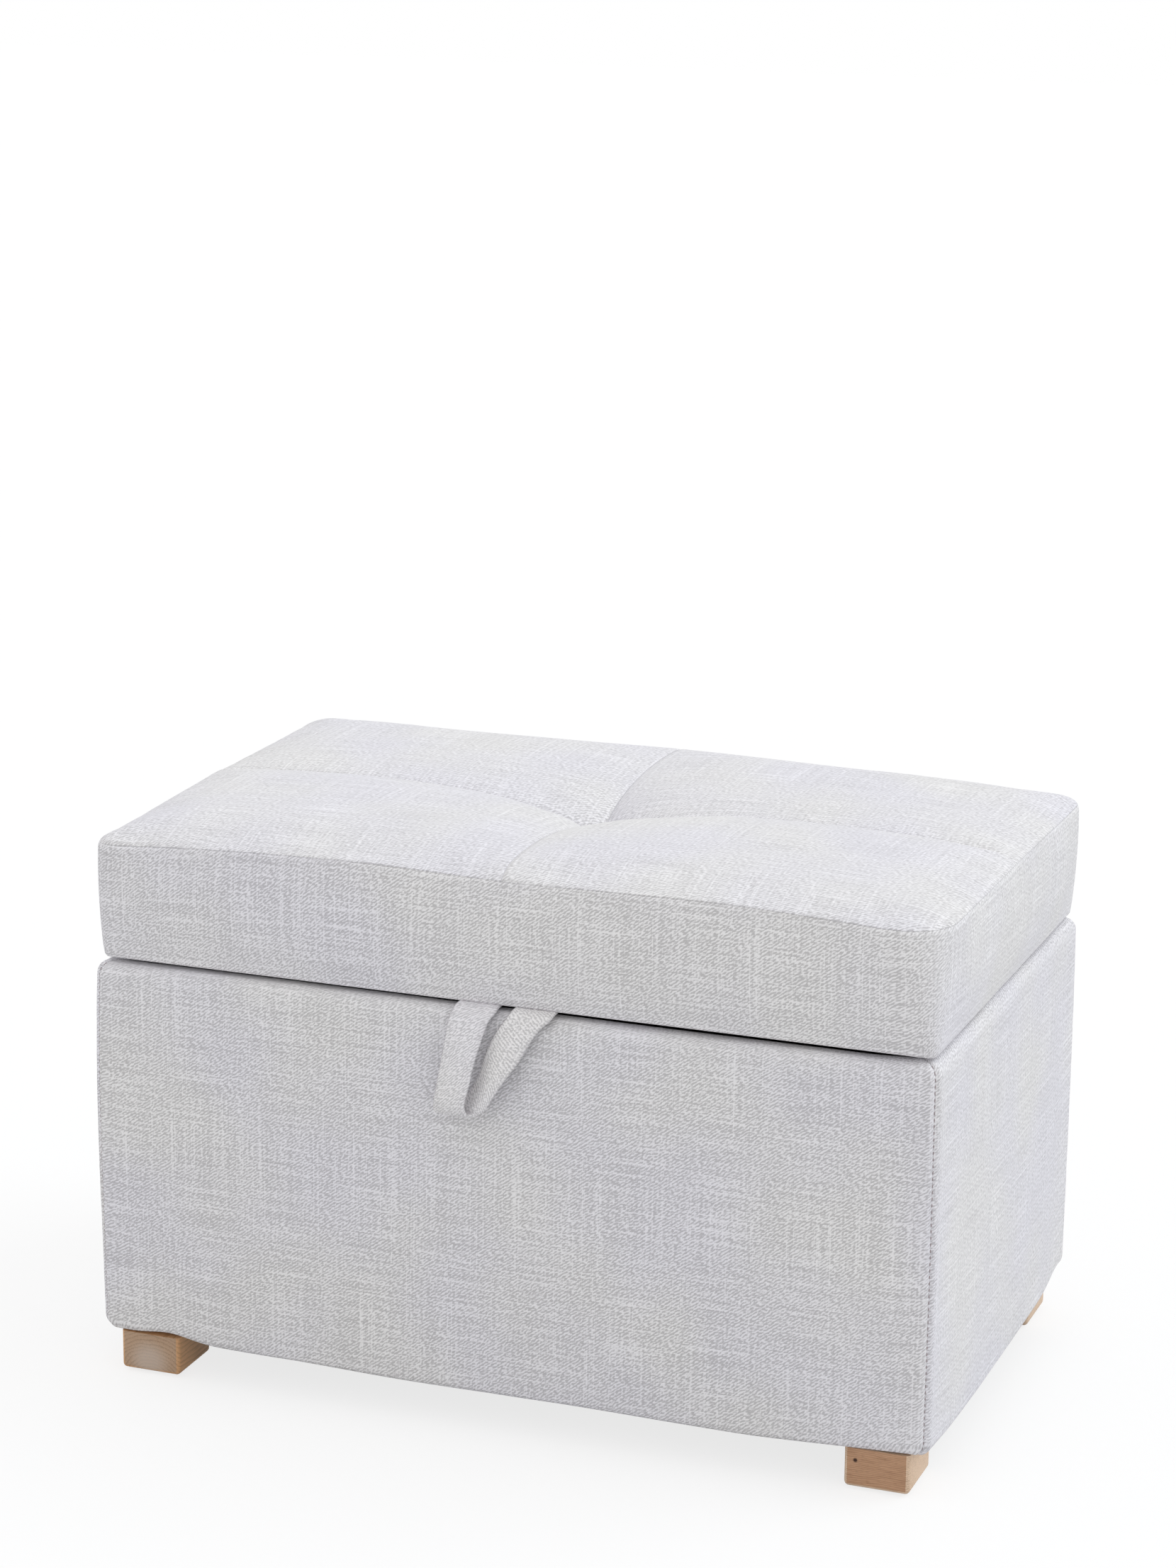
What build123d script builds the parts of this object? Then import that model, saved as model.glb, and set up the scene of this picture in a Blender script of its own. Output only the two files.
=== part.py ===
from build123d import *
import math
import os

# Upholstered storage bench: a padded box on four block feet, with a hinged, tufted lid and a cloth
# pull loop. Millimetres, +Z up, front at -Y, origin on the floor under the middle of the bench.

# Whole bench
bench_width = 600.0
bench_depth = 370.0

# Layers of the box, from the outside in
cover_thickness = 1.2
wadding_thickness = 5.0
wall_thickness = 12.0
lining_thickness = 1.0
bottom_thickness = 12.0
dust_cover_thickness = 0.8

# Box
box_height = 270.0
box_corner_radius = 10.0
rim_outer_radius = 9.0
rim_inner_radius = 5.0
rim_turn_in = 50.0
well_corner_radius = 3.0
post_leg = 18.0
post_drop = 5.0
dust_cover_inset = 14.0

# Feet and what holds them
foot_width = 45.0
foot_depth = 50.0
foot_height = 28.0
foot_side_inset = 12.0
foot_end_inset = 5.0
foot_bottom_radius = 5.0
foot_corner_radius = 1.5
glide_diameter = 20.0
glide_thickness = 2.0
glide_chamfer = 0.5
bolt_diameter = 8.0
bolt_depth_in_foot = 20.0
bolt_chamfer = 1.0
nut_wall = 1.2
nut_barrel_length = 9.0
nut_flange_diameter = 20.0
nut_flange_thickness = 1.5

# Lid cushion
lid_gap = 3.0
lid_inset = 1.0
lid_draw_in = 3.0
lid_height = 100.0
lid_crown = 12.0
lid_corner_radius = 24.0
lid_top_edge_radius = 10.0
lid_bottom_edge_radius = 4.0
lid_turn_under = 35.0
lid_board_thickness = 12.0
lid_lining_inset = 28.0
seam_drop = 7.0
seam_width = 2.4
seam_depth = 0.8

# Tuft in the middle of the lid
tuft_radius = 85.0
tuft_depth = 38.0
tuft_shoulder_radius = 130.0
tuft_overrun = 2.0
twine_diameter = 1.6
knot_diameter = 3.4
washer_diameter = 24.0
washer_thickness = 1.0
washer_recess = 4.0

# Stop hinges
hinge_inset = 110.0
hinge_length = 60.0
hinge_leaf_width = 21.0
hinge_leaf_thickness = 1.2
hinge_leaf_corner = 3.0
hinge_knuckle_count = 5
hinge_knuckle_gap = 0.3
hinge_barrel_diameter = 5.6
hinge_barrel_room = 0.4
hinge_pin_diameter = 2.6
hinge_running_clearance = 0.05
hinge_stand_off = 0.8
hinge_heel_length = 5.2
hinge_stop_angle = -45.0
hinge_stop_gap = 0.3
lid_open_angle = 100.0

# Hinge screws
screw_diameter = 3.0
screw_head_diameter = 5.4
screw_count = 3
screw_spacing = 20.0
box_screw_length = 24.0
lid_screw_length = 11.0

# Pull loop
loop_band_width = 28.0
loop_band_thickness = 1.6
loop_drop = 76.0
loop_finger_gap = 9.0
loop_stand_off = 0.6
loop_front_top_x = -15.0
loop_front_end_x = -34.0
loop_back_end_x = -24.0
loop_back_top_x = 22.0
loop_belly_drop = 26.0
loop_turn_steps = 6
loop_tail_margin = 2.0
loop_joint_gap = 0.3

# Clearances
fit_clearance = 0.1
cloth_ease = 0.3

# Levels and insets that follow from the sizes above
foot_top = glide_thickness + foot_height
cover_bottom = foot_top + dust_cover_thickness
rim_top = cover_bottom + box_height
board_bottom = cover_bottom + cover_thickness
wall_bottom = board_bottom + bottom_thickness
wall_outside = cover_thickness + wadding_thickness
wall_inside = wall_outside + wall_thickness
rim_inside = wall_inside + cover_thickness
wall_top = rim_top - wall_outside
lining_top = rim_top - rim_turn_in
lid_bottom = rim_top + lid_gap
lid_board_bottom = lid_bottom + cover_thickness
lid_board_top = lid_board_bottom + lid_board_thickness
lid_top = lid_bottom + lid_height
lid_base_width = bench_width - 2 * (lid_inset + lid_draw_in)
lid_base_depth = bench_depth - 2 * (lid_inset + lid_draw_in)
lid_side_taper = -math.degrees(math.atan(lid_draw_in / (lid_height - lid_crown)))
crown_radius = ((bench_width / 2) ** 2 + lid_crown**2) / (2 * lid_crown)
crown_centre = lid_top - crown_radius

# Places of repeated pieces
foot_x = bench_width / 2 - foot_side_inset - foot_width / 2
foot_y = bench_depth / 2 - foot_end_inset - foot_depth / 2
foot_places = {
    "foot_front_left": (-foot_x, -foot_y),
    "foot_front_right": (foot_x, -foot_y),
    "foot_back_left": (-foot_x, foot_y),
    "foot_back_right": (foot_x, foot_y),
}
hinge_x = bench_width / 2 - hinge_inset
hinge_y = bench_depth / 2 + hinge_stand_off
hinge_z = rim_top + lid_gap / 2
hinge_centres = {"left": -hinge_x, "right": hinge_x}
screw_y = bench_depth / 2 - wall_outside - wall_thickness / 2
screw_offsets = [(i - (screw_count - 1) / 2) * screw_spacing for i in range(screw_count)]
screw_places = [(x + step, screw_y) for x in hinge_centres.values() for step in screw_offsets]
screw_hole_radius = screw_diameter / 2 + fit_clearance

os.makedirs("parts", exist_ok=True)


def save(piece, name):
    """Label a finished piece and write it as its own STEP file."""
    piece.label = name
    export_step(piece, f"parts/{name}.step")


def slab(width, depth, low, high):
    """A flat rectangular board or sheet centred on the Z axis, between two levels."""
    with BuildPart() as sheet:
        with BuildSketch(Plane.XY.offset(low)):
            Rectangle(width, depth)
        extrude(amount=high - low)
    return sheet.part


def drilled(piece, places, radius, low, high):
    """The piece with an upright round hole at each place, between two levels."""
    with BuildPart() as result:
        add(piece)
        with BuildSketch(Plane.XY.offset(low)):
            with Locations(*places):
                Circle(radius)
        extrude(amount=high - low, mode=Mode.SUBTRACT)
    return result.part


def difference(piece, *tools):
    """The piece with every tool cut away."""
    with BuildPart() as result:
        add(piece)
        for tool in tools:
            add(tool, mode=Mode.SUBTRACT)
    return result.part


# Box: board carcass

bottom = slab(bench_width - 2 * wall_outside, bench_depth - 2 * wall_outside, board_bottom, wall_bottom)
nut_barrel_radius = bolt_diameter / 2 + nut_wall
with BuildPart() as bottom_panel:
    add(bottom)
    with Locations(*[(x, y, wall_bottom) for x, y in foot_places.values()]):
        CounterBoreHole(
            radius=nut_barrel_radius + fit_clearance,
            counter_bore_radius=nut_flange_diameter / 2 + fit_clearance,
            counter_bore_depth=nut_flange_thickness,
        )
save(bottom_panel.part, "bottom_panel")


def wall_board(width, depth, x, y):
    """One upright wall board, standing on the bottom panel."""
    with BuildPart() as board:
        with BuildSketch(Plane.XY.offset(wall_bottom)):
            with Locations((x, y)):
                Rectangle(width, depth)
        extrude(amount=wall_top - wall_bottom)
    return board.part


side_x = bench_width / 2 - wall_outside - wall_thickness / 2
cross_width = bench_width - 2 * wall_inside
side_depth = bench_depth - 2 * wall_outside
save(wall_board(wall_thickness, side_depth, -side_x, 0), "left_panel")
save(wall_board(wall_thickness, side_depth, side_x, 0), "right_panel")
save(wall_board(cross_width, wall_thickness, 0, -screw_y), "front_panel")

box_screw_tip = rim_top + hinge_leaf_thickness - box_screw_length
back_board = wall_board(cross_width, wall_thickness, 0, screw_y)
back_panel = drilled(back_board, screw_places, screw_hole_radius, box_screw_tip - fit_clearance, wall_top)
save(back_panel, "back_panel")

well_x = bench_width / 2 - wall_inside
well_y = bench_depth / 2 - wall_inside
with BuildPart() as corner_posts:
    with BuildSketch(Plane.XY.offset(wall_bottom)):
        with BuildLine():
            Polyline((-well_x, -well_y), (-well_x + post_leg, -well_y), (-well_x, -well_y + post_leg), close=True)
        make_face()
        mirror(about=Plane.YZ)
        mirror(about=Plane.XZ)
    extrude(amount=lining_top - post_drop - wall_bottom)
save(corner_posts.part, "corner_posts")


# Box: wadding, sewn cover, lining and dust cover


def rim_ring(inset):
    """The padded wall as a ring, drawn in by inset on every side, with its rim rounded."""
    with BuildPart() as ring:
        with BuildSketch(Plane.XY.offset(cover_bottom + inset)):
            RectangleRounded(bench_width - 2 * inset, bench_depth - 2 * inset, box_corner_radius - inset)
            RectangleRounded(
                bench_width - 2 * (rim_inside - inset),
                bench_depth - 2 * (rim_inside - inset),
                well_corner_radius + inset,
                mode=Mode.SUBTRACT,
            )
        extrude(amount=box_height - 2 * inset)
        fillet(ring.faces().sort_by(Axis.Z)[-1].outer_wire().edges(), rim_outer_radius - inset)
        fillet(ring.faces().sort_by(Axis.Z)[-1].inner_wires()[0].edges(), rim_inner_radius - inset)
    return ring.part


carcass = slab(bench_width - 2 * wall_outside, bench_depth - 2 * wall_outside, board_bottom, wall_top)
wadding = difference(rim_ring(cover_thickness + fit_clearance), carcass)
save(drilled(wadding, screw_places, screw_hole_radius, wall_top, rim_top), "base_wadding")

well = slab(2 * well_x, 2 * well_y, cover_bottom, lining_top)
cover = difference(rim_ring(0), rim_ring(cover_thickness), well)
cover = drilled(cover, screw_places, screw_hole_radius, wall_top, rim_top)

half_ridge = (bench_width - bench_depth) / 2
reach_x = bench_width / 2 + bench_depth
reach_y = bench_depth / 2 + bench_depth
front_wedge = [(-reach_x, -reach_y), (reach_x, -reach_y), (half_ridge, 0), (-half_ridge, 0)]
right_wedge = [(reach_x, -reach_y), (reach_x, reach_y), (half_ridge, 0)]
cover_wedges = {
    "front": front_wedge,
    "right": right_wedge,
    "back": [(-x, -y) for x, y in front_wedge],
    "left": [(-x, -y) for x, y in right_wedge],
}
for side, corners in cover_wedges.items():
    with BuildPart() as cover_panel:
        add(cover)
        with BuildSketch(Plane.XY.offset(cover_bottom)):
            with BuildLine():
                Polyline(*corners, close=True)
            make_face()
        extrude(amount=box_height, mode=Mode.INTERSECT)
    save(cover_panel.part, f"base_cover_{side}")

with BuildPart() as storage_lining:
    with BuildSketch(Plane.XY.offset(wall_bottom)) as lining_plan:
        Rectangle(2 * well_x, 2 * well_y)
        chamfer(lining_plan.vertices(), post_leg + cloth_ease)
    extrude(amount=lining_top - wall_bottom)
    offset(amount=-lining_thickness, openings=storage_lining.faces().sort_by(Axis.Z)[-1])
save(storage_lining.part, "storage_lining")

dust_sheet = slab(
    bench_width - 2 * dust_cover_inset, bench_depth - 2 * dust_cover_inset, foot_top, cover_bottom
)
bolt_room = bolt_diameter / 2 + cloth_ease
save(drilled(dust_sheet, foot_places.values(), bolt_room, foot_top, cover_bottom), "dust_cover")


# Feet, their bolts, tee nuts and glides

for name, (x, y) in foot_places.items():
    with BuildPart() as foot:
        with BuildSketch(Plane.XY.offset(glide_thickness)):
            with Locations((x, y)):
                Rectangle(foot_width, foot_depth)
        extrude(amount=foot_height)
        fillet(foot.faces().sort_by(Axis.Z)[0].edges(), foot_bottom_radius)
        fillet(foot.edges().filter_by(Axis.Z), foot_corner_radius)
        with Locations((x, y, foot_top)):
            Hole(bolt_diameter / 2 + fit_clearance, depth=bolt_depth_in_foot + fit_clearance)
    save(foot.part, name)

with BuildPart() as foot_bolts:
    with BuildSketch(Plane.XY.offset(foot_top - bolt_depth_in_foot)):
        with Locations(*foot_places.values()):
            Circle(bolt_diameter / 2)
    extrude(amount=wall_bottom - foot_top + bolt_depth_in_foot)
    chamfer(foot_bolts.edges().group_by(Axis.Z)[0], bolt_chamfer)
    chamfer(foot_bolts.edges().group_by(Axis.Z)[-1], bolt_chamfer)
save(foot_bolts.part, "foot_bolts")

with BuildPart() as tee_nuts:
    with BuildSketch(Plane.XY.offset(wall_bottom - nut_flange_thickness - nut_barrel_length)):
        with Locations(*foot_places.values()):
            Circle(nut_barrel_radius)
    extrude(amount=nut_barrel_length + nut_flange_thickness)
    with BuildSketch(Plane.XY.offset(wall_bottom - nut_flange_thickness)):
        with Locations(*foot_places.values()):
            Circle(nut_flange_diameter / 2)
    extrude(amount=nut_flange_thickness)
    with Locations(*[(x, y, wall_bottom) for x, y in foot_places.values()]):
        Hole(bolt_diameter / 2 + fit_clearance)
save(tee_nuts.part, "tee_nuts")

with BuildPart() as foot_glides:
    with BuildSketch():
        with Locations(*foot_places.values()):
            Circle(glide_diameter / 2)
    extrude(amount=glide_thickness)
    chamfer(foot_glides.edges().group_by(Axis.Z)[0], glide_chamfer)
save(foot_glides.part, "foot_glides")


# Lid: cushion form with its crown, drawn-in sides and tuft

tuft_chord_end = crown_centre + math.sqrt(crown_radius**2 - tuft_radius**2)
tuft_chord_start = lid_top - tuft_depth
tuft_chord = math.hypot(tuft_radius, tuft_chord_end - tuft_chord_start)
tuft_arm = math.sqrt(tuft_shoulder_radius**2 - (tuft_chord / 2) ** 2) / tuft_chord
tuft_centre_r = tuft_radius / 2 + tuft_arm * (tuft_chord_end - tuft_chord_start)
tuft_centre_z = (tuft_chord_start + tuft_chord_end) / 2 - tuft_arm * tuft_radius
tuft_end_angle = math.degrees(math.atan2(tuft_chord_end - tuft_centre_z, tuft_radius - tuft_centre_r))
tuft_end_angle -= tuft_overrun


def tuft_floor(inset):
    """Height of the tuft's lowest point, on the form drawn in by inset."""
    return tuft_centre_z + math.sqrt((tuft_shoulder_radius - inset) ** 2 - tuft_centre_r**2)


def tuft_pit(inset):
    """The round hollow of the tuft, whose side is one rolled-over shoulder."""
    floor = tuft_floor(inset)
    shoulder = tuft_shoulder_radius - inset
    start_angle = math.degrees(math.atan2(floor - tuft_centre_z, -tuft_centre_r))
    with BuildPart() as pit:
        with BuildSketch(Plane.XZ):
            with BuildLine():
                CenterArc((tuft_centre_r, tuft_centre_z), shoulder, start_angle, tuft_end_angle - start_angle)
                end_r = tuft_centre_r + shoulder * math.cos(math.radians(tuft_end_angle))
                end_z = tuft_centre_z + shoulder * math.sin(math.radians(tuft_end_angle))
                Polyline((end_r, end_z), (end_r, lid_top + tuft_depth), (0, lid_top + tuft_depth), (0, floor))
            make_face()
        revolve(axis=Axis.Z)
    return pit.part


def crown_ball(inset):
    """The large ball whose top is the lid's crown, drawn in by inset."""
    with BuildPart() as ball:
        with Locations((0, 0, crown_centre)):
            Sphere(crown_radius - inset)
    return ball.part


def cushion_form(inset):
    """The whole lid cushion, drawn in by inset on every side."""
    ball = crown_ball(inset)
    pit = tuft_pit(inset)
    with BuildPart() as form:
        with BuildSketch(Plane.XY.offset(lid_bottom + inset)):
            RectangleRounded(
                lid_base_width - 2 * inset, lid_base_depth - 2 * inset, lid_corner_radius - inset
            )
        extrude(amount=lid_height + lid_crown, taper=lid_side_taper)
        fillet(form.faces().sort_by(Axis.Z)[0].edges(), lid_bottom_edge_radius - inset)
        add(ball, mode=Mode.INTERSECT)
        fillet(form.faces().sort_by(Axis.Z)[-1].edges(), lid_top_edge_radius - inset)
        add(pit, mode=Mode.SUBTRACT)
    return form.part


# Lid: sewn cover, in four top panels and a border

lid_window = slab(
    lid_base_width - 2 * lid_turn_under, lid_base_depth - 2 * lid_turn_under, lid_bottom, lid_board_bottom
)
lid_cover = difference(cushion_form(0), cushion_form(cover_thickness), lid_window)
lid_cover = drilled(lid_cover, screw_places, screw_hole_radius, lid_bottom, lid_board_bottom)

with BuildPart() as tuft_column:
    with BuildSketch(Plane.XY.offset(lid_board_top)):
        Circle(tuft_radius)
    extrude(amount=lid_height)
below_seam = difference(crown_ball(seam_drop), tuft_column.part)
with BuildPart() as lid_border:
    add(lid_cover)
    add(below_seam, mode=Mode.INTERSECT)
save(lid_border.part, "lid_border")

below_channel = crown_ball(seam_depth)
with BuildPart() as seam_channel:
    with BuildSketch(Plane.XY.offset(lid_bottom)):
        Rectangle(seam_width, bench_depth)
        Rectangle(bench_width, seam_width)
    extrude(amount=lid_height)
    add(below_channel, mode=Mode.SUBTRACT)

with BuildPart() as lid_top_panels:
    add(lid_cover)
    add(below_seam, mode=Mode.SUBTRACT)
    add(seam_channel.part, mode=Mode.SUBTRACT)
    split(bisect_by=Plane.YZ, keep=Keep.BOTH)
    split(bisect_by=Plane.XZ, keep=Keep.BOTH)
save(lid_top_panels.part, "lid_top_panels")


# Lid: foam, board, lining and the tuft's tie

twine_room = twine_diameter / 2 + cloth_ease
lid_core = cushion_form(cover_thickness + cloth_ease)
with BuildPart() as lid_foam:
    add(lid_core)
    split(bisect_by=Plane.XY.offset(lid_board_top), keep=Keep.TOP)
save(drilled(lid_foam.part, [(0, 0)], twine_room, lid_board_top, lid_top), "lid_foam")

lid_screw_tip = lid_bottom - hinge_leaf_thickness + lid_screw_length
board_margin = cover_thickness + cloth_ease
with BuildPart() as lid_plank:
    with BuildSketch(Plane.XY.offset(lid_board_bottom)):
        RectangleRounded(
            lid_base_width - 2 * board_margin,
            lid_base_depth - 2 * board_margin,
            lid_corner_radius - board_margin,
        )
    extrude(amount=lid_board_thickness)
    fillet(lid_plank.faces().sort_by(Axis.Z)[0].edges(), lid_bottom_edge_radius - cover_thickness)
    with Locations(Location((0, 0, lid_board_bottom), (180, 0, 0))):
        CounterBoreHole(
            radius=twine_room,
            counter_bore_radius=washer_diameter / 2 + fit_clearance,
            counter_bore_depth=washer_recess,
        )
lid_board = drilled(
    lid_plank.part, screw_places, screw_hole_radius, lid_board_bottom, lid_screw_tip + fit_clearance
)
save(lid_board, "lid_board")

lining_width = lid_base_width - 2 * lid_lining_inset
lining_depth = lid_base_depth - 2 * lid_lining_inset
save(slab(lining_width, lining_depth, lid_bottom - lining_thickness, lid_bottom), "lid_lining")

washer_top = lid_board_bottom + washer_recess
washer_bottom = washer_top - washer_thickness
with BuildPart() as tuft_washer:
    with BuildSketch(Plane.XY.offset(washer_bottom)):
        Circle(washer_diameter / 2)
        Circle(twine_room, mode=Mode.SUBTRACT)
    extrude(amount=washer_thickness)
save(tuft_washer.part, "tuft_washer")

knot_drop = math.sqrt((knot_diameter / 2) ** 2 - twine_room**2)
with BuildPart() as tuft_twine:
    with BuildSketch(Plane.XY.offset(washer_bottom - knot_drop)):
        Circle(twine_diameter / 2)
    extrude(amount=tuft_floor(cover_thickness) - washer_bottom + knot_drop)
    with Locations((0, 0, washer_bottom - knot_drop)):
        Sphere(knot_diameter / 2)
save(tuft_twine.part, "tuft_twine")


# Stop hinges: two interleaved leaves on a pin, whose heels meet when the lid stands open

knuckle_pitch = hinge_length / hinge_knuckle_count
barrel_radius = hinge_barrel_diameter / 2
heel_reach = barrel_radius + hinge_heel_length
bore_radius = hinge_pin_diameter / 2 + hinge_running_clearance


def hinge_leaf(centre_x, first_knuckle, plate_low, heel_angle, heel_low, screw_face, screw_turn):
    """One leaf: screw plate, heel, every other knuckle from first_knuckle on, and its screw holes."""
    left = centre_x - hinge_length / 2
    other_knuckle = 1 - first_knuckle
    heel_plane = Plane(
        origin=(left, hinge_y, hinge_z),
        x_dir=(0, math.cos(math.radians(heel_angle)), math.sin(math.radians(heel_angle))),
        z_dir=(1, 0, 0),
    )
    with BuildPart() as leaf:
        with BuildSketch(Plane.XY.offset(plate_low)) as plate:
            with Locations((centre_x, hinge_y - hinge_leaf_width / 2)):
                Rectangle(hinge_length, hinge_leaf_width)
            fillet(plate.vertices().group_by(Axis.Y)[0], hinge_leaf_corner)
        extrude(amount=hinge_leaf_thickness)
        with BuildSketch(heel_plane):
            with Locations((heel_reach / 2, heel_low + hinge_leaf_thickness / 2)):
                Rectangle(heel_reach, hinge_leaf_thickness)
        extrude(amount=hinge_length)
        for index in range(other_knuckle, hinge_knuckle_count, 2):
            with BuildSketch(Plane.YZ.offset(left + index * knuckle_pitch)):
                with Locations((hinge_y, hinge_z)):
                    Circle(barrel_radius + hinge_barrel_room)
            extrude(amount=knuckle_pitch, mode=Mode.SUBTRACT)
        for index in range(first_knuckle, hinge_knuckle_count, 2):
            with BuildSketch(Plane.YZ.offset(left + index * knuckle_pitch + hinge_knuckle_gap / 2)):
                with Locations((hinge_y, hinge_z)):
                    Circle(barrel_radius)
            extrude(amount=knuckle_pitch - hinge_knuckle_gap)
        with BuildSketch(Plane.YZ.offset(left)):
            with Locations((hinge_y, hinge_z)):
                Circle(bore_radius)
        extrude(amount=hinge_length, mode=Mode.SUBTRACT)
        with Locations(
            *[Location((centre_x + step, screw_y, screw_face), (screw_turn, 0, 0)) for step in screw_offsets]
        ):
            CounterSinkHole(
                radius=screw_diameter / 2 + fit_clearance,
                counter_sink_radius=screw_head_diameter / 2 + fit_clearance,
                depth=hinge_leaf_thickness,
            )
    return leaf.part


for side, centre_x in hinge_centres.items():
    box_leaf = hinge_leaf(
        centre_x,
        first_knuckle=0,
        plate_low=rim_top,
        heel_angle=hinge_stop_angle,
        heel_low=-hinge_leaf_thickness - hinge_stop_gap / 2,
        screw_face=rim_top + hinge_leaf_thickness,
        screw_turn=0,
    )
    save(box_leaf, f"hinge_box_leaf_{side}")
    lid_leaf = hinge_leaf(
        centre_x,
        first_knuckle=1,
        plate_low=lid_bottom - hinge_leaf_thickness,
        heel_angle=hinge_stop_angle + lid_open_angle,
        heel_low=hinge_stop_gap / 2,
        screw_face=lid_bottom - hinge_leaf_thickness,
        screw_turn=180,
    )
    save(lid_leaf, f"hinge_lid_leaf_{side}")
    with BuildPart() as hinge_pin:
        with BuildSketch(Plane.YZ.offset(centre_x - hinge_length / 2)):
            with Locations((hinge_y, hinge_z)):
                Circle(hinge_pin_diameter / 2)
        extrude(amount=hinge_length)
    save(hinge_pin.part, f"hinge_pin_{side}")

screw_head_depth = (screw_head_diameter - screw_diameter) / 2


def hinge_screws(face, direction, length):
    """The countersunk screws of both hinges, driven from a leaf's face up (1) or down (-1)."""
    with BuildPart() as screws:
        with BuildSketch(Plane.XY.offset(face)):
            with Locations(*screw_places):
                Circle(screw_diameter / 2)
        extrude(amount=direction * length)
        for x, y in screw_places:
            with BuildSketch(Plane.XY.offset(face)):
                with Locations((x, y)):
                    Circle(screw_head_diameter / 2)
            with BuildSketch(Plane.XY.offset(face + direction * screw_head_depth)):
                with Locations((x, y)):
                    Circle(screw_diameter / 2)
            loft()
    return screws.part


save(hinge_screws(rim_top + hinge_leaf_thickness, -1, box_screw_length), "hinge_box_screws")
save(hinge_screws(lid_bottom - hinge_leaf_thickness, 1, lid_screw_length), "hinge_lid_screws")


# Pull loop: one band, down at the front, round the turn and up behind

loop_y = -bench_depth / 2 - loop_stand_off - loop_band_thickness / 2
loop_z = lid_bottom - loop_band_thickness / 2
turn_radius = (loop_finger_gap + loop_band_thickness) / 2
turn_y = loop_y - turn_radius
turn_z = loop_z - loop_drop + turn_radius + loop_band_thickness / 2
belly_share = loop_belly_drop / (loop_z - turn_z)


def band_section(x, y, z, angle):
    """Plane across the band: its width lies along X and its run is turned by angle about X."""
    run = (0, math.sin(math.radians(angle)), -math.cos(math.radians(angle)))
    return Plane(origin=(x, y, z), x_dir=(1, 0, 0), z_dir=run)


belly_x = loop_front_top_x + belly_share * (loop_front_end_x - loop_front_top_x)
belly_y = loop_y - 2 * turn_radius
band_planes = [
    band_section(loop_front_top_x, loop_y, loop_z, 0),
    band_section(belly_x, belly_y, loop_z - loop_belly_drop, 0),
]
for step in range(loop_turn_steps + 1):
    share = step / loop_turn_steps
    angle = math.pi * share
    x = loop_front_end_x + share * (loop_back_end_x - loop_front_end_x)
    y = turn_y - turn_radius * math.cos(angle)
    z = turn_z - turn_radius * math.sin(angle)
    band_planes.append(band_section(x, y, z, math.degrees(angle)))
band_planes.append(band_section(loop_back_top_x, loop_y, loop_z, 180))

with BuildPart() as pull_loop:
    for plane in band_planes:
        with BuildSketch(plane):
            Rectangle(loop_band_width, loop_band_thickness)
    loft(ruled=True)
save(pull_loop.part, "pull_loop")

tail_start = loop_y + loop_band_thickness / 2 + loop_joint_gap
tail_end = -lid_base_depth / 2 + lid_lining_inset - loop_tail_margin
with BuildPart() as pull_loop_tails:
    with BuildSketch(Plane.XY.offset(lid_bottom - loop_band_thickness)):
        with Locations(
            (loop_front_top_x, (tail_start + tail_end) / 2), (loop_back_top_x, (tail_start + tail_end) / 2)
        ):
            Rectangle(loop_band_width, tail_end - tail_start)
    extrude(amount=loop_band_thickness)
save(pull_loop_tails.part, "pull_loop_tails")
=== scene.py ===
"""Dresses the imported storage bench: sewn linen, tufted lid, cloth pull loop, wooden feet and hinges."""

import logging
import math
from collections.abc import Iterator
from contextlib import contextmanager
from dataclasses import asdict, dataclass, field, fields, replace
from enum import Enum

import bmesh
import bpy
import numpy as np
from bpy.types import ID, Material, Mesh, Node, NodeOutputs, NodeSocket, NodeTree, Object
from mathutils import Matrix, Vector, noise
from numpy import ndarray


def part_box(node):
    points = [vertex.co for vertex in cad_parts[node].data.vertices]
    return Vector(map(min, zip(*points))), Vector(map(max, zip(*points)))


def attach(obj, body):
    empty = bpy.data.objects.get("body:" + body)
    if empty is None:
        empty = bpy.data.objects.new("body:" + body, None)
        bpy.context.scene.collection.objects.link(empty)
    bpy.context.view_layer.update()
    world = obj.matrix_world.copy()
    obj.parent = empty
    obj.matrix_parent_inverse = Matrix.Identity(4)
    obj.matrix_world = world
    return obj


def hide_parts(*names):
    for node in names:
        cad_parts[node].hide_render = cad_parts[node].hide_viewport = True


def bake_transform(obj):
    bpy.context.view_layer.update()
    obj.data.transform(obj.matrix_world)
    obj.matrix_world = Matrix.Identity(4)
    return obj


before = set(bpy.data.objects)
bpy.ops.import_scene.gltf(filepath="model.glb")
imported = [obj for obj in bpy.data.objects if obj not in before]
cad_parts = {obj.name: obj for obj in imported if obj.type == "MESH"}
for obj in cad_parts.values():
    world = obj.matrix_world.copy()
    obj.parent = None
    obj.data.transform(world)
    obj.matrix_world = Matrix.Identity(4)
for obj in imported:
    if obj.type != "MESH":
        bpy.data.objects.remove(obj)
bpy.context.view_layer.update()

LOG = logging.getLogger("storage_bench")
MM = 0.001
WHITE = (1.0, 1.0, 1.0)
Triple = tuple[float, float, float]


class Side(Enum):
    """A side of the bench, as its turn from the front about the upright axis, in quarter turns."""

    FRONT = 0
    RIGHT = 1
    BACK = 2
    LEFT = 3


class GrainAxis(Enum):
    """Direction of the wood's fibres in a piece, as a turn of the grain pattern in degrees."""

    ALONG_WIDTH = (0.0, 0.0, 0.0)
    ALONG_DEPTH = (0.0, 0.0, 90.0)


# Points and curves


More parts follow.
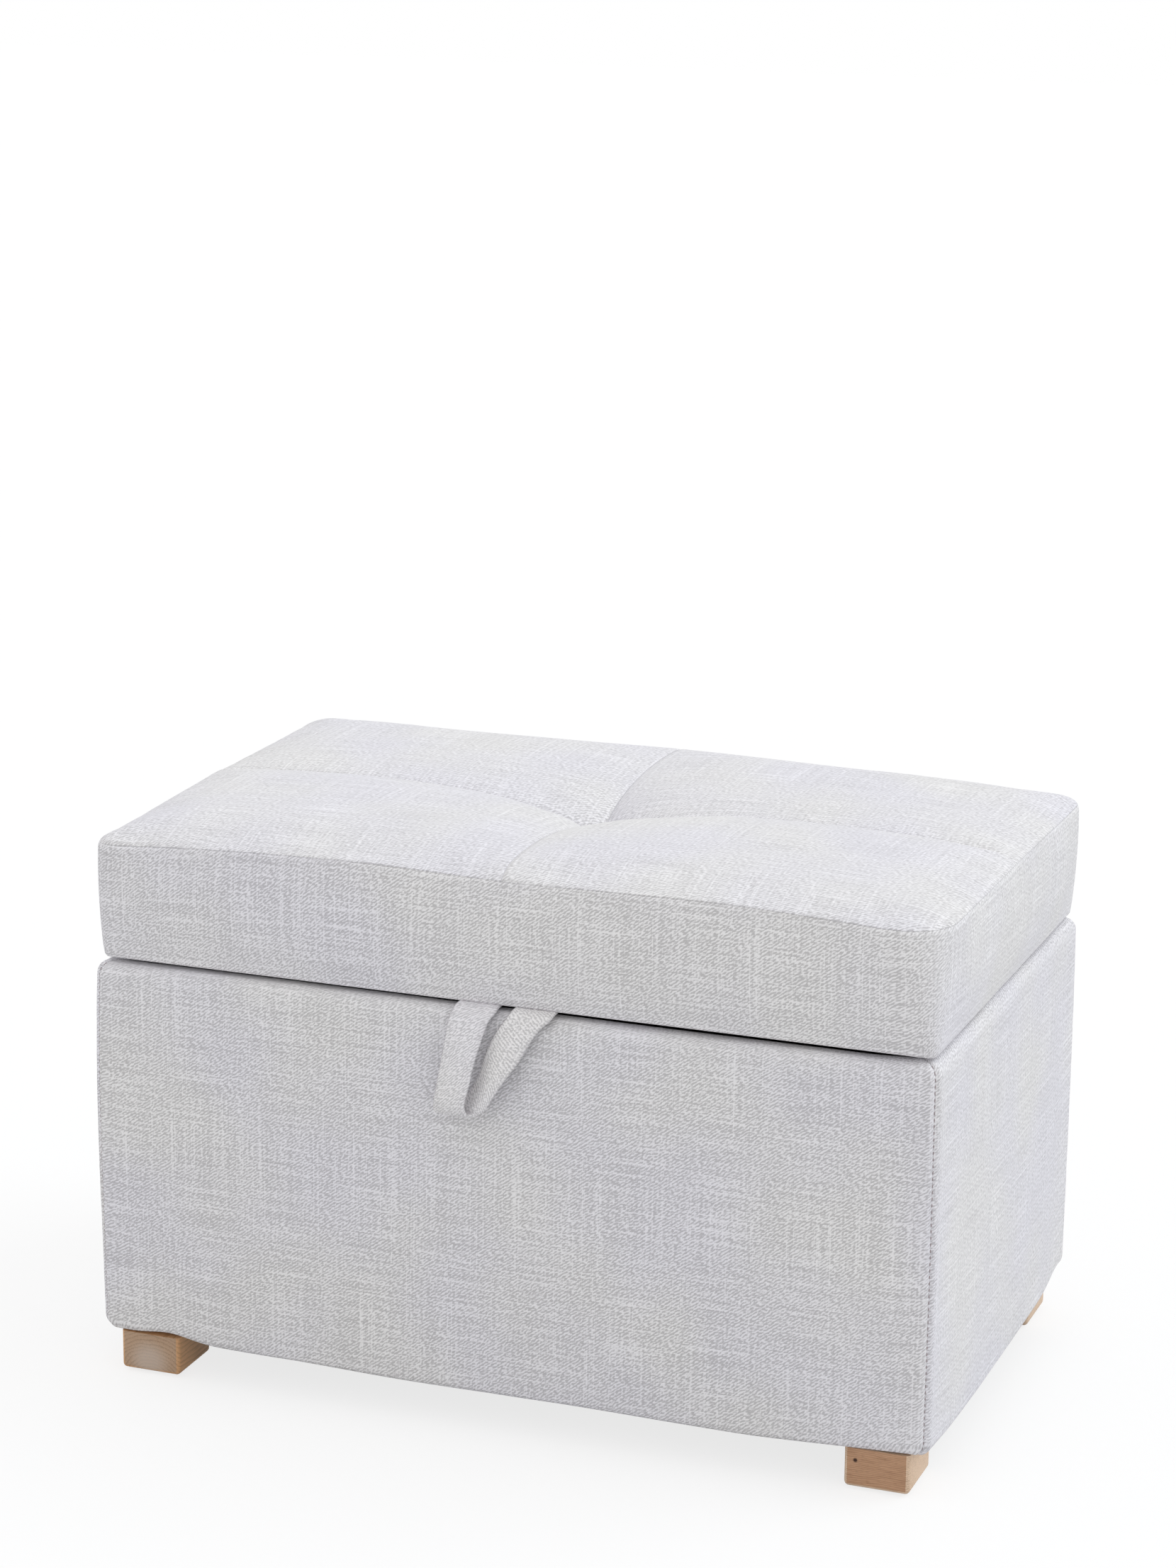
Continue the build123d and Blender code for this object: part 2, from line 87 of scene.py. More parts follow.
def wander(points: ndarray, size: float, seed: float) -> ndarray:
    """Smooth noise between -1 and 1 at each point.

    Args:
        points: Points in metres; the last axis is x, y, z.
        size: Length over which the noise changes.
        seed: Moves the noise to another place.

    Returns:
        One value for each point.
    """
    flat = points.reshape(-1, 3) / size + seed * np.array([17.3, 7.1, 3.7])
    return np.array([noise.noise(Vector(p)) for p in flat]).reshape(points.shape[:-1])


def smooth_step(values: ndarray, low: float, high: float) -> ndarray:
    """A ramp from 0 at low to 1 at high, with soft ends."""
    share = np.clip((values - low) / (high - low), 0.0, 1.0)
    return share * share * (3.0 - 2.0 * share)


def hill(values: ndarray, middle: float, width: float) -> ndarray:
    """A soft rise to 1 at middle, gone about two widths away from it."""
    return np.exp(-(((values - middle) / width) ** 2))


def resample(points: ndarray, places: ndarray, wrap: bool = False) -> ndarray:
    """Read a smooth curve through rows of points at other places.

    Args:
        points: Points along the first axis.
        places: Places to read, counted in rows, fractions allowed.
        wrap: Whether the last row is followed by the first.

    Returns:
        One row for each place.
    """
    start = np.floor(places).astype(int)
    if wrap:
        padded = np.concatenate([points[-1:], points, points[:3]])
    else:
        start = np.clip(start, 0, len(points) - 2)
        after = 2.0 * points[-1:] - points[-2:-1]
        padded = np.concatenate([2.0 * points[:1] - points[1:2], points, after, after])
    share = (places - start).reshape((-1,) + (1,) * (points.ndim - 1))
    a, b, c, d = (padded[start + k] for k in range(4))
    bend = (2.0 * a - 5.0 * b + 4.0 * c - d) * share**2
    twist = (3.0 * b - a - 3.0 * c + d) * share**3
    return 0.5 * (2.0 * b + (c - a) * share + bend + twist)


def resample_grid(points: ndarray, down: ndarray, across: ndarray, wrap: bool = False) -> ndarray:
    """Read a smooth surface through a grid at other rows and columns; wrap closes it across."""
    return resample(resample(points, down).transpose(1, 0, 2), across, wrap).transpose(1, 0, 2)


def unit(vectors: ndarray) -> ndarray:
    """The vectors, each made one long."""
    return vectors / np.maximum(np.linalg.norm(vectors, axis=-1, keepdims=True), 1e-12)


def normals_of(points: ndarray) -> ndarray:
    """Unit normals of a grid, pointing to the side from which rows then columns turn left."""
    return unit(np.cross(np.gradient(points, axis=1), np.gradient(points, axis=0)))


def travelled(points: ndarray) -> ndarray:
    """Way along a line to each of its points, or down a grid to each row, in the median over the columns."""
    steps = np.linalg.norm(np.diff(points, axis=0), axis=-1)
    if steps.ndim > 1:
        steps = np.median(steps, axis=1)
    return np.concatenate([[0.0], np.cumsum(steps)])


def raised(flat: ndarray, height: object) -> ndarray:
    """Points in plan with a height, or with one height each."""
    return np.concatenate([flat, np.broadcast_to(height, flat.shape[:-1])[..., None]], axis=-1)


def ringed(rows: ndarray) -> ndarray:
    """A grid whose first column is added again after the last."""
    return np.concatenate([rows, rows[:, :1]], axis=1)


def weave_map(run: ndarray, fall: ndarray) -> ndarray:
    """Weave places of a grid from those of its columns and of its rows."""
    return np.stack(np.broadcast_arrays(run[None, :], fall[:, None]), axis=-1)


# Meshes


@dataclass
class ClothGrid:
    """Rows and columns of points with the place of each on the weave, both in metres."""

    points: ndarray
    weave: ndarray

    def faces(self, first: int) -> ndarray:
        """Corner numbers of the grid's four-sided faces, counted on from first."""
        rows, columns = self.points.shape[:2]
        r, c = np.meshgrid(np.arange(rows - 1), np.arange(columns - 1), indexing="ij")
        start = first + r * columns + c
        return np.stack([start, start + 1, start + columns + 1, start + columns], axis=-1).reshape(-1, 4)


@contextmanager
def editing(mesh: Mesh) -> Iterator[bmesh.types.BMesh]:
    """Open a mesh for editing and write it back."""
    work = bmesh.new()
    work.from_mesh(mesh)
    yield work
    work.to_mesh(mesh)
    work.free()


def place(name: str, data: ID) -> Object:
    """Put a mesh, a lamp or a camera into the scene as an object at the origin."""
    piece = bpy.data.objects.new(name, data)
    bpy.context.scene.collection.objects.link(piece)
    return piece


def cloth_mesh(name: str, grids: list[ClothGrid], flip: bool = False) -> Object:
    """Join grids of cloth into one smooth object with a weave map.

    Args:
        name: Name of the new object.
        grids: Grids whose touching edges are merged.
        flip: Whether the faces are turned round.

    Returns:
        The new object, linked to the scene.
    """
    vertices = np.concatenate([g.points.reshape(-1, 3) for g in grids])
    weave = np.concatenate([g.weave.reshape(-1, 2) for g in grids])
    firsts = np.cumsum([0] + [g.points.shape[0] * g.points.shape[1] for g in grids])
    faces = np.concatenate([g.faces(first) for g, first in zip(grids, firsts)])
    mesh = bpy.data.meshes.new(name)
    mesh.from_pydata(vertices.tolist(), [], (faces[:, ::-1] if flip else faces).tolist())
    numbers = np.zeros(len(mesh.loops), dtype=np.int32)
    mesh.loops.foreach_get("vertex_index", numbers)
    mesh.uv_layers.new(name="weave").data.foreach_set("uv", weave[numbers].astype(np.float32).ravel())
    with editing(mesh) as work:
        bmesh.ops.remove_doubles(work, verts=work.verts, dist=2e-6)
        bmesh.ops.dissolve_degenerate(work, edges=work.edges, dist=1e-7)
    mesh.shade_smooth()
    return place(name, mesh)


def thicken(piece: Object, thickness: float) -> None:
    """Give a sheet its thickness behind its face."""
    with editing(piece.data) as work:
        bmesh.ops.solidify(work, geom=work.faces[:], thickness=thickness)
    piece.data.shade_smooth()


def mark_relief_by_light(piece: Object, turned_off: float = 0.5) -> None:
    """Keep on a cloth piece how strongly its weave stands out, less on faces turned up or to the right:
    painted light, a fainter weave where the light falls.

    Args:
        piece: Cloth piece.
        turned_off: Share of the relief lost on the top and on the right, the faces turned to the light.
    """
    mesh = piece.data
    normal = np.zeros(len(mesh.vertices) * 3, dtype=np.float32)
    mesh.vertex_normals.foreach_get("vector", normal)
    # Painted light: pressed is here the share of the face turned up or to the right, towards the lamp, whose
    # weave is made fainter.
    pressed = np.clip(normal.reshape(-1, 3)[:, [0, 2]].max(axis=1), 0.0, 1.0)
    relief = 1.0 - turned_off * smooth_step(pressed, 0.2, 0.95)
    mesh.attributes.new("relief", "FLOAT", "POINT").data.foreach_set("value", relief.astype(np.float32))


def dress(piece: Object, material: Material) -> None:
    """Give a piece its material."""
    piece.data.materials.clear()
    piece.data.materials.append(material)


def settle(piece: Object, material: Material, slot: str, body: str, *nodes: str) -> None:
    """Dress a piece, let it ride on its body and stand for the solids that it covers.

    Args:
        piece: Finished piece.
        material: Its finish.
        slot: Not used.
        body: Body that carries it.
        nodes: Solids that the piece stands for.
    """
    dress(piece, material)
    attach(piece, body)
    if nodes:
        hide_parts(*nodes)
    LOG.info("%s: %d faces on %s", piece.name, len(piece.data.polygons), body)


# Node helpers


class Sockets:
    """Places nodes in one tree and joins them."""

    def __init__(self, tree: NodeTree) -> None:
        """Keep the tree that nodes are placed in."""
        self.tree = tree

    def add(self, kind: str, feeds: dict | None = None, **settings: object) -> Node:
        """Place a node.

        Args:
            kind: Node type.
            feeds: Value or socket for each input, by the input's name or number.
            settings: Properties of the node.

        Returns:
            The new node.
        """
        node = self.tree.nodes.new(kind)
        for name, value in settings.items():
            setattr(node, name, value)
        for key, value in (feeds or {}).items():
            self.feed(node.inputs[key], value)
        return node

    def feed(self, socket: NodeSocket, value: object) -> None:
        """Link a socket to another one, or set it to a plain value; a plain colour is a triple."""
        if isinstance(value, NodeSocket):
            self.tree.links.new(value, socket)
        elif socket.type == "RGBA":
            socket.default_value = (*value, 1.0)
        else:
            socket.default_value = value

    def math(self, operation: str, *values: object) -> NodeSocket:
        """A Math node's result for up to three values or sockets."""
        return self.add("ShaderNodeMath", dict(enumerate(values)), operation=operation).outputs[0]

    def vector(self, operation: str, *values: object) -> NodeSocket:
        """A Vector Math node's result, a number for LENGTH and DISTANCE."""
        node = self.add("ShaderNodeVectorMath", dict(enumerate(values)), operation=operation)
        return node.outputs["Value" if operation in ("LENGTH", "DISTANCE") else "Vector"]

    def join(self, *values: object) -> NodeSocket:
        """A vector of up to three values or sockets."""
        return self.add("ShaderNodeCombineXYZ", dict(enumerate(values))).outputs[0]

    def cloud(self, vector: NodeSocket, scale: float, detail: float = 2.0, part: str = "Fac") -> NodeSocket:
        """Noise of about 0 to 1.

        Args:
            vector: Coordinates.
            scale: Changes per unit of the coordinates.
            detail: Finer layers of noise.
            part: Fac for one value, Color for three.

        Returns:
            The noise's socket.
        """
        feeds = {"Vector": vector, "Scale": scale, "Detail": detail}
        return self.add("ShaderNodeTexNoise", feeds).outputs[part]

    def stretched(self, vector: NodeSocket, scale: Triple, detail: float) -> NodeSocket:
        """Noise of about 0 to 1 that changes differently along each axis."""
        return self.cloud(self.vector("MULTIPLY", vector, scale), 1.0, detail)

    def ramp(self, value: NodeSocket, low: float, high: float) -> NodeSocket:
        """A soft step from 0 at low to 1 at high."""
        feeds = {"Value": value, "From Min": low, "From Max": high}
        return self.add("ShaderNodeMapRange", feeds, interpolation_type="SMOOTHSTEP").outputs["Result"]

    def mix(self, share: object, a: object, b: object, blend: str = "MIX") -> NodeSocket:
        """Two colours mixed by the second one's share."""
        feeds = {0: share, 6: a, 7: b}
        return self.add("ShaderNodeMix", feeds, data_type="RGBA", blend_type=blend).outputs[2]

    def weigh(self, tone: object, value: NodeSocket, middle: float, gain: float) -> NodeSocket:
        """A tone with a value's distance from its middle added by a gain."""
        return self.math("MULTIPLY_ADD", self.math("SUBTRACT", value, middle), gain, tone)

    def seen(self) -> tuple[Node, NodeSocket]:
        """The Light Path node, and 1 for rays by which the camera sees a surface."""
        rays = self.add("ShaderNodeLightPath")
        return rays, self.math("MAXIMUM", rays.outputs["Is Camera Ray"], rays.outputs["Is Glossy Ray"])


class PatternGroup:
    """A shader group with the outputs Color and Height."""

    def __init__(self, name: str, **inputs: object) -> None:
        """Start the group.

        Args:
            name: Name of the group.
            inputs: Default of each input: None for a vector, a triple for a colour, or a number.
        """
        self.tree = bpy.data.node_groups.new(name, "ShaderNodeTree")
        self.kit = Sockets(self.tree)
        kinds = {type(None): "NodeSocketVector", tuple: "NodeSocketColor", float: "NodeSocketFloat"}
        for label, value in inputs.items():
            title = label.replace("_", " ").title()
            kind = kinds[type(value)]
            socket = self.tree.interface.new_socket(name=title, in_out="INPUT", socket_type=kind)
            if value is not None:
                socket.default_value = (*value, 1.0) if isinstance(value, tuple) else value
        for title, kind in (("Color", tuple), ("Height", float)):
            self.tree.interface.new_socket(name=title, in_out="OUTPUT", socket_type=kinds[kind])
        self.given = self.kit.add("NodeGroupInput").outputs

    def end(self, colour: NodeSocket, height: NodeSocket) -> NodeTree:
        """Feed the group's outputs."""
        self.kit.add("NodeGroupOutput", {"Color": colour, "Height": height})
        return self.tree


def twill_group() -> NodeTree:
    """Shader group of a slubby twill, read on the weave map in metres."""
    light, dark = (0.8, 0.8, 0.82), (0.55, 0.55, 0.57)
    group = PatternGroup("SlubbyTwill", weave=None, light_thread=light, dark_thread=dark, contrast=1.0)
    kit, given = group.kit, group.given
    slope = math.radians(36.0)
    millimetres = kit.vector("MULTIPLY", given["Weave"], (1000.0, 1000.0, 1000.0))
    shift = kit.cloud(millimetres, 0.3, part="Color")
    sway = kit.vector("MULTIPLY_ADD", shift, (1.1, 1.1, 0.0), millimetres)
    u, v = kit.add("ShaderNodeSeparateXYZ", {0: sway}).outputs[:2]
    rise = kit.math("MULTIPLY", v, math.cos(slope))
    across = kit.math("SUBTRACT", rise, kit.math("MULTIPLY", u, math.sin(slope)))
    run = kit.math("MULTIPLY", u, math.cos(slope))
    along = kit.math("ADD", run, kit.math("MULTIPLY", v, math.sin(slope)))
    line = kit.math("DIVIDE", across, 1.9)
    step = kit.math("MULTIPLY_ADD", kit.math("FLOOR", line), 0.37, kit.math("DIVIDE", along, 3.3))
    waves = [kit.math("COSINE", kit.math("MULTIPLY", turn, math.tau)) for turn in (line, step)]
    thread = kit.math("MULTIPLY_ADD", waves[0], 0.5, 0.5)
    thread = kit.math("MULTIPLY", thread, kit.math("MULTIPLY_ADD", waves[1], 0.28, 0.72))

    lay = kit.join(kit.math("MULTIPLY", along, 0.4), kit.math("MULTIPLY", across, 0.88))
    dashes = kit.cloud(lay, 1.0, 0.0)
    weft = kit.stretched(millimetres, (0.016, 0.9, 1.0), 0.0)
    warp = kit.stretched(millimetres, (0.9, 0.009, 1.0), 0.0)
    slubs = kit.math("MULTIPLY_ADD", kit.ramp(warp, 0.64, 0.82), 0.7, kit.ramp(weft, 0.66, 0.82))
    streaks = kit.math("MULTIPLY_ADD", warp, 0.6, weft)

    tone = kit.weigh(0.5, thread, 0.36, 1.3)
    tone = kit.weigh(tone, dashes, 0.5, 3.1)
    tone = kit.weigh(tone, streaks, 0.8, 1.3)
    tone = kit.math("MULTIPLY_ADD", slubs, 0.45, tone)
    tone = kit.weigh(tone, kit.cloud(millimetres, 0.035), 0.5, 0.3)
    tone = kit.weigh(0.5, tone, 0.52, given["Contrast"])
    plain = kit.mix(tone, given["Dark Thread"], given["Light Thread"])
    blush = kit.ramp(kit.cloud(millimetres, 0.009, 1.0), 0.3, 0.7)
    tint = kit.mix(blush, (0.976, 0.962, 0.997), (1.0, 0.987, 0.972))
    return group.end(kit.mix(1.0, plain, tint, "MULTIPLY"), kit.math("MULTIPLY_ADD", slubs, 0.5, thread))


def plain_weave_group() -> NodeTree:
    """Shader group of a fine plain weave, read on the weave map in metres."""
    light, dark = (0.6, 0.6, 0.6), (0.4, 0.4, 0.4)
    group = PatternGroup(
        "FinePlainWeave", weave=None, light_thread=light, dark_thread=dark, thread_count=900.0
    )
    kit, given = group.kit, group.given
    feeds = {0: given["Weave"], "Scale": given["Thread Count"]}
    count = kit.add("ShaderNodeVectorMath", feeds, operation="SCALE").outputs[0]
    turns = kit.vector("MULTIPLY", count, (math.pi, math.pi, 0.0))
    waves = [kit.math("SINE", turn) for turn in kit.add("ShaderNodeSeparateXYZ", {0: turns}).outputs[:2]]
    checks = kit.math("MULTIPLY", *waves)
    checks = kit.math("MULTIPLY_ADD", checks, 0.5, 0.5)
    tone = kit.weigh(0.5, checks, 0.5, 0.35)
    for scale in ((0.02, 0.6, 1.0), (0.6, 0.02, 1.0)):
        tone = kit.weigh(tone, kit.stretched(count, scale, 1.0), 0.5, 1.0)
    return group.end(kit.mix(tone, given["Dark Thread"], given["Light Thread"]), checks)


def wood_group() -> NodeTree:
    """Shader group of sawn wood whose fibres run along the first axis, in metres."""
    early, late = (0.6, 0.45, 0.32), (0.4, 0.27, 0.17)
    group = PatternGroup("SawnWood", place=None, early_wood=early, late_wood=late, ring_pitch=0.004)
    kit, given = group.kit, group.given
    where = given["Place"]
    bend = kit.cloud(kit.vector("MULTIPLY", where, (18.0, 60.0, 60.0)), 1.0, part="Color")
    bent = kit.vector("MULTIPLY_ADD", bend, (0.0, 0.006, 0.006), where)
    radius = kit.vector("LENGTH", kit.vector("MULTIPLY", bent, (0.0, 1.0, 1.0)))
    ring = kit.math("FRACT", kit.math("DIVIDE", radius, given["Ring Pitch"]))
    late = kit.ramp(kit.math("POWER", ring, 1.6), 0.2, 1.0)
    fibre = kit.stretched(where, (70.0, 1000.0, 1000.0), 3.0)
    pores = kit.ramp(kit.stretched(where, (260.0, 3200.0, 3200.0), 0.0), 0.62, 0.74)
    tone = kit.weigh(kit.math("MULTIPLY", late, 0.5), fibre, 0.45, 1.3)
    tone = kit.math("MULTIPLY_ADD", pores, 0.3, tone)
    tone = kit.weigh(tone, kit.cloud(where, 30.0), 0.5, 0.7)
    height = kit.math("SUBTRACT", kit.math("MULTIPLY", fibre, 0.5), pores)
    return group.end(kit.mix(tone, given["Early Wood"], given["Late Wood"]), height)


# Finishes


class Coat:
    """A material under way, with its nodes and its Principled shader."""

    def __init__(self, name: str, values: dict[str, object]) -> None:
        """Start the material with plain values for sockets of its shader."""
        self.material = bpy.data.materials.new(name)
        self.material.use_nodes = True
        self.kit = Sockets(self.material.node_tree)
        self.shader = self.material.node_tree.nodes["Principled BSDF"]
        self.give(values)

    def give(self, values: dict[str, object]) -> None:
        """Set or link sockets of the shader."""
        for label, value in values.items():
            self.kit.feed(self.shader.inputs[label], value)

    def where(self) -> NodeSocket:
        """Places on the piece, in metres."""
        return self.kit.add("ShaderNodeTexCoord").outputs["Object"]

    def marked(self, label: str) -> NodeSocket:
        """A value kept on the piece's mesh."""
        return self.kit.add("ShaderNodeAttribute", attribute_name=label).outputs["Fac"]

    def woven(self, weave: NodeTree, light: Triple, dark: Triple, extra: dict[str, object]) -> Node:
        """A weave on the piece's weave map.

        Args:
            weave: Shader group of the weave.
            light: Colour of the threads that lie on top.
            dark: Colour between the threads.
            extra: The group's own inputs.

        Returns:
            The group's node.
        """
        spot = self.kit.add("ShaderNodeUVMap", uv_map="weave").outputs[0]
        feeds = {"Weave": spot, "Light Thread": light, "Dark Thread": dark} | extra
        return self.kit.add("ShaderNodeGroup", feeds, node_tree=weave)

    def end(self, colour: NodeSocket, height: NodeSocket, depth: float, strength: float) -> Material:
        """Colour the shader and let a height pattern tilt its normal.

        Args:
            colour: Colour pattern.
            height: Height pattern.
            depth: Height of the pattern in metres.
            strength: Strength of the bump.

        Returns:
            The finished material.
        """
        bump = self.kit.add("ShaderNodeBump", {"Strength": strength, "Distance": depth, "Height": height})
        self.give({"Base Color": colour, "Normal": bump.outputs["Normal"]})
        return self.material


@dataclass(frozen=True)
class LinenFinish:
    """Light grey linen-look twill of the covers and the pull loop."""

    name: str = "grey_linen_twill"
    light: Triple = (0.94, 0.94, 0.955)
    dark: Triple = (0.6, 0.595, 0.605)

    def build(self, weave: NodeTree) -> Material:
        """Make the material on the twill group."""
        matt = {"Roughness": 0.95, "Specular IOR Level": 0.2, "Sheen Weight": 0.08, "Sheen Roughness": 0.5}
        coat = Coat(self.name, matt)
        # The weave's contrast follows the relief mark: painted light, fainter on the faces turned to the
        # lamp.
        group = coat.woven(weave, self.light, self.dark, {"Contrast": coat.marked("relief")})
        return coat.end(group.outputs["Color"], group.outputs["Height"], 0.00022, 0.6)


@dataclass(frozen=True)
class ClothFinish:
    """Plain woven cloth of the linings and the dust cover."""

    name: str
    light: Triple
    dark: Triple
    threads: float = 900.0

    def build(self, weave: NodeTree) -> Material:
        """Make the material on the plain weave group."""
        coat = Coat(self.name, {"Roughness": 0.9, "Specular IOR Level": 0.25})
        group = coat.woven(weave, self.light, self.dark, {"Thread Count": self.threads})
        return coat.end(group.outputs["Color"], group.outputs["Height"], 0.0001, 0.5)


@dataclass(frozen=True)
class WoodFinish:
    """Wood with growth rings, fibres and pores, turned and moved for each piece."""

    name: str
    early: Triple
    late: Triple
    pith: Triple
    axis: GrainAxis = GrainAxis.ALONG_WIDTH
    ring_pitch: float = 0.0042
    knot: Triple | None = None
    ends_and_shade_tint: Triple = WHITE
    heart: Triple | None = None

    def build(self, grain: NodeTree) -> Material:
        """Make the material on the wood group."""
        coat = Coat(self.name, {"Roughness": 0.55, "Specular IOR Level": 0.35})
        kit, where = coat.kit, coat.where()
        turn = [math.radians(a) for a in self.axis.value]
        feeds = {"Vector": where, "Location": self.pith, "Rotation": turn}
        feeds = {"Place": kit.add("ShaderNodeMapping", feeds, vector_type="TEXTURE").outputs[0]}
        feeds |= {"Early Wood": self.early, "Late Wood": self.late, "Ring Pitch": self.ring_pitch}
        group = kit.add("ShaderNodeGroup", feeds, node_tree=grain)
        colour = group.outputs["Color"]
        if self.knot is not None:
            near = kit.ramp(kit.vector("DISTANCE", where, self.knot), 0.0021, 0.0007)
            colour = kit.mix(near, colour, (0.06, 0.03, 0.02))
        # Front and back faces get their own tint: partly end-grain darkening, partly painted shade of the
        # faces turned away from the light.
        if self.ends_and_shade_tint != WHITE:
            tint = kit.mix(coat.marked("grain_end_and_shade"), WHITE, self.ends_and_shade_tint)
            colour = kit.mix(1.0, colour, tint, "MULTIPLY")
        if self.heart is not None:
            near = kit.ramp(kit.vector("DISTANCE", where, self.heart), 0.019, 0.004)
            colour = kit.mix(kit.math("MULTIPLY", near, 0.55), colour, (0.66, 0.57, 0.5))
        return coat.end(colour, group.outputs["Height"], 0.00012, 0.5)


@dataclass(frozen=True)
class MetalFinish:
    """Plated steel with fine scuffs."""

    name: str
    bright: Triple
    dull: Triple
    roughness: float

    def build(self) -> Material:
        """Make the material."""
        coat = Coat(self.name, {"Metallic": 1.0})
        kit, where = coat.kit, coat.where()
        scuffs = kit.stretched(where, (60.0, 900.0, 900.0), 3.0)
        coat.give({"Roughness": kit.math("MULTIPLY_ADD", scuffs, 0.3, self.roughness - 0.12)})
        return coat.end(kit.mix(kit.cloud(where, 140.0, 3.0), self.dull, self.bright), scuffs, 0.00004, 0.3)


@dataclass(frozen=True)
class MatteFinish:
    """Matt grainy finish of thread, moulded nylon and other plain stuff."""

    name: str
    light: Triple
    dark: Triple
    grain: float = 900.0

    def build(self) -> Material:
        """Make the material."""
        coat = Coat(self.name, {"Roughness": 0.7})
        speck = coat.kit.cloud(coat.where(), self.grain, 3.0)
        return coat.end(coat.kit.mix(speck, self.dark, self.light), speck, 0.0001, 0.4)


class Finishes:
    """Every finish of the bench, built once."""

    def __init__(self) -> None:
        """Build the shared groups and the materials."""
        twill, plain, self.grain = twill_group(), plain_weave_group(), wood_group()
        self.linen = LinenFinish().build(twill)
        # A lighter copy of the linen for the pull loop: painted light for the band catching more light than
        # the panels.
        self.band = LinenFinish("linen_band", (0.985, 0.98, 0.985), (0.66, 0.655, 0.66)).build(twill)
        self.lining = ClothFinish("lining_cotton", (0.62, 0.61, 0.6), (0.44, 0.43, 0.42)).build(plain)
        black = ClothFinish("black_dust_cloth", (0.05, 0.05, 0.055), (0.018, 0.018, 0.02), 700.0)
        self.dust_cloth = black.build(plain)
        plywood = WoodFinish(
            "plywood_board", (0.62, 0.47, 0.31), (0.5, 0.35, 0.21), (0.0, 0.3, -0.4), ring_pitch=0.02
        )
        self.board = plywood.build(self.grain)
        pine = WoodFinish("pine_block", (0.66, 0.5, 0.31), (0.5, 0.33, 0.17), (0.0, 0.1, -0.1))
        self.softwood = pine.build(self.grain)
        self.zinc = MetalFinish("zinc_steel", (0.62, 0.63, 0.64), (0.42, 0.43, 0.45), 0.42).build()
        self.nickel = MetalFinish("nickel_steel", (0.68, 0.66, 0.62), (0.5, 0.48, 0.45), 0.32).build()
        self.nylon = MatteFinish("nylon_glide", (0.09, 0.085, 0.08), (0.05, 0.048, 0.045)).build()
        self.twine = MatteFinish("waxed_twine", (0.7, 0.66, 0.58), (0.5, 0.46, 0.4), 2500.0).build()
        self.thread = MatteFinish("corner_thread", (0.44, 0.37, 0.38), (0.3, 0.24, 0.25), 3000.0).build()


# Rows of stitches, staples and screws


class RowShape(Enum):
    """What a row repeats, with the name of its node group."""

    STITCH = "ThreadStitches"
    STAPLE = "StapleRow"
    SCREW = "CrossHeadScrews"


@dataclass(frozen=True)
class RowSize:
    """Distance between a row's pieces, their size in metres and how far they wobble in radians."""

    pitch: float
    length: float
    width: float
    height: float
    wobble: float


@dataclass
class RowPath:
    """Points of one path and the direction in which a repeated piece faces at each."""

    points: ndarray
    out: ndarray


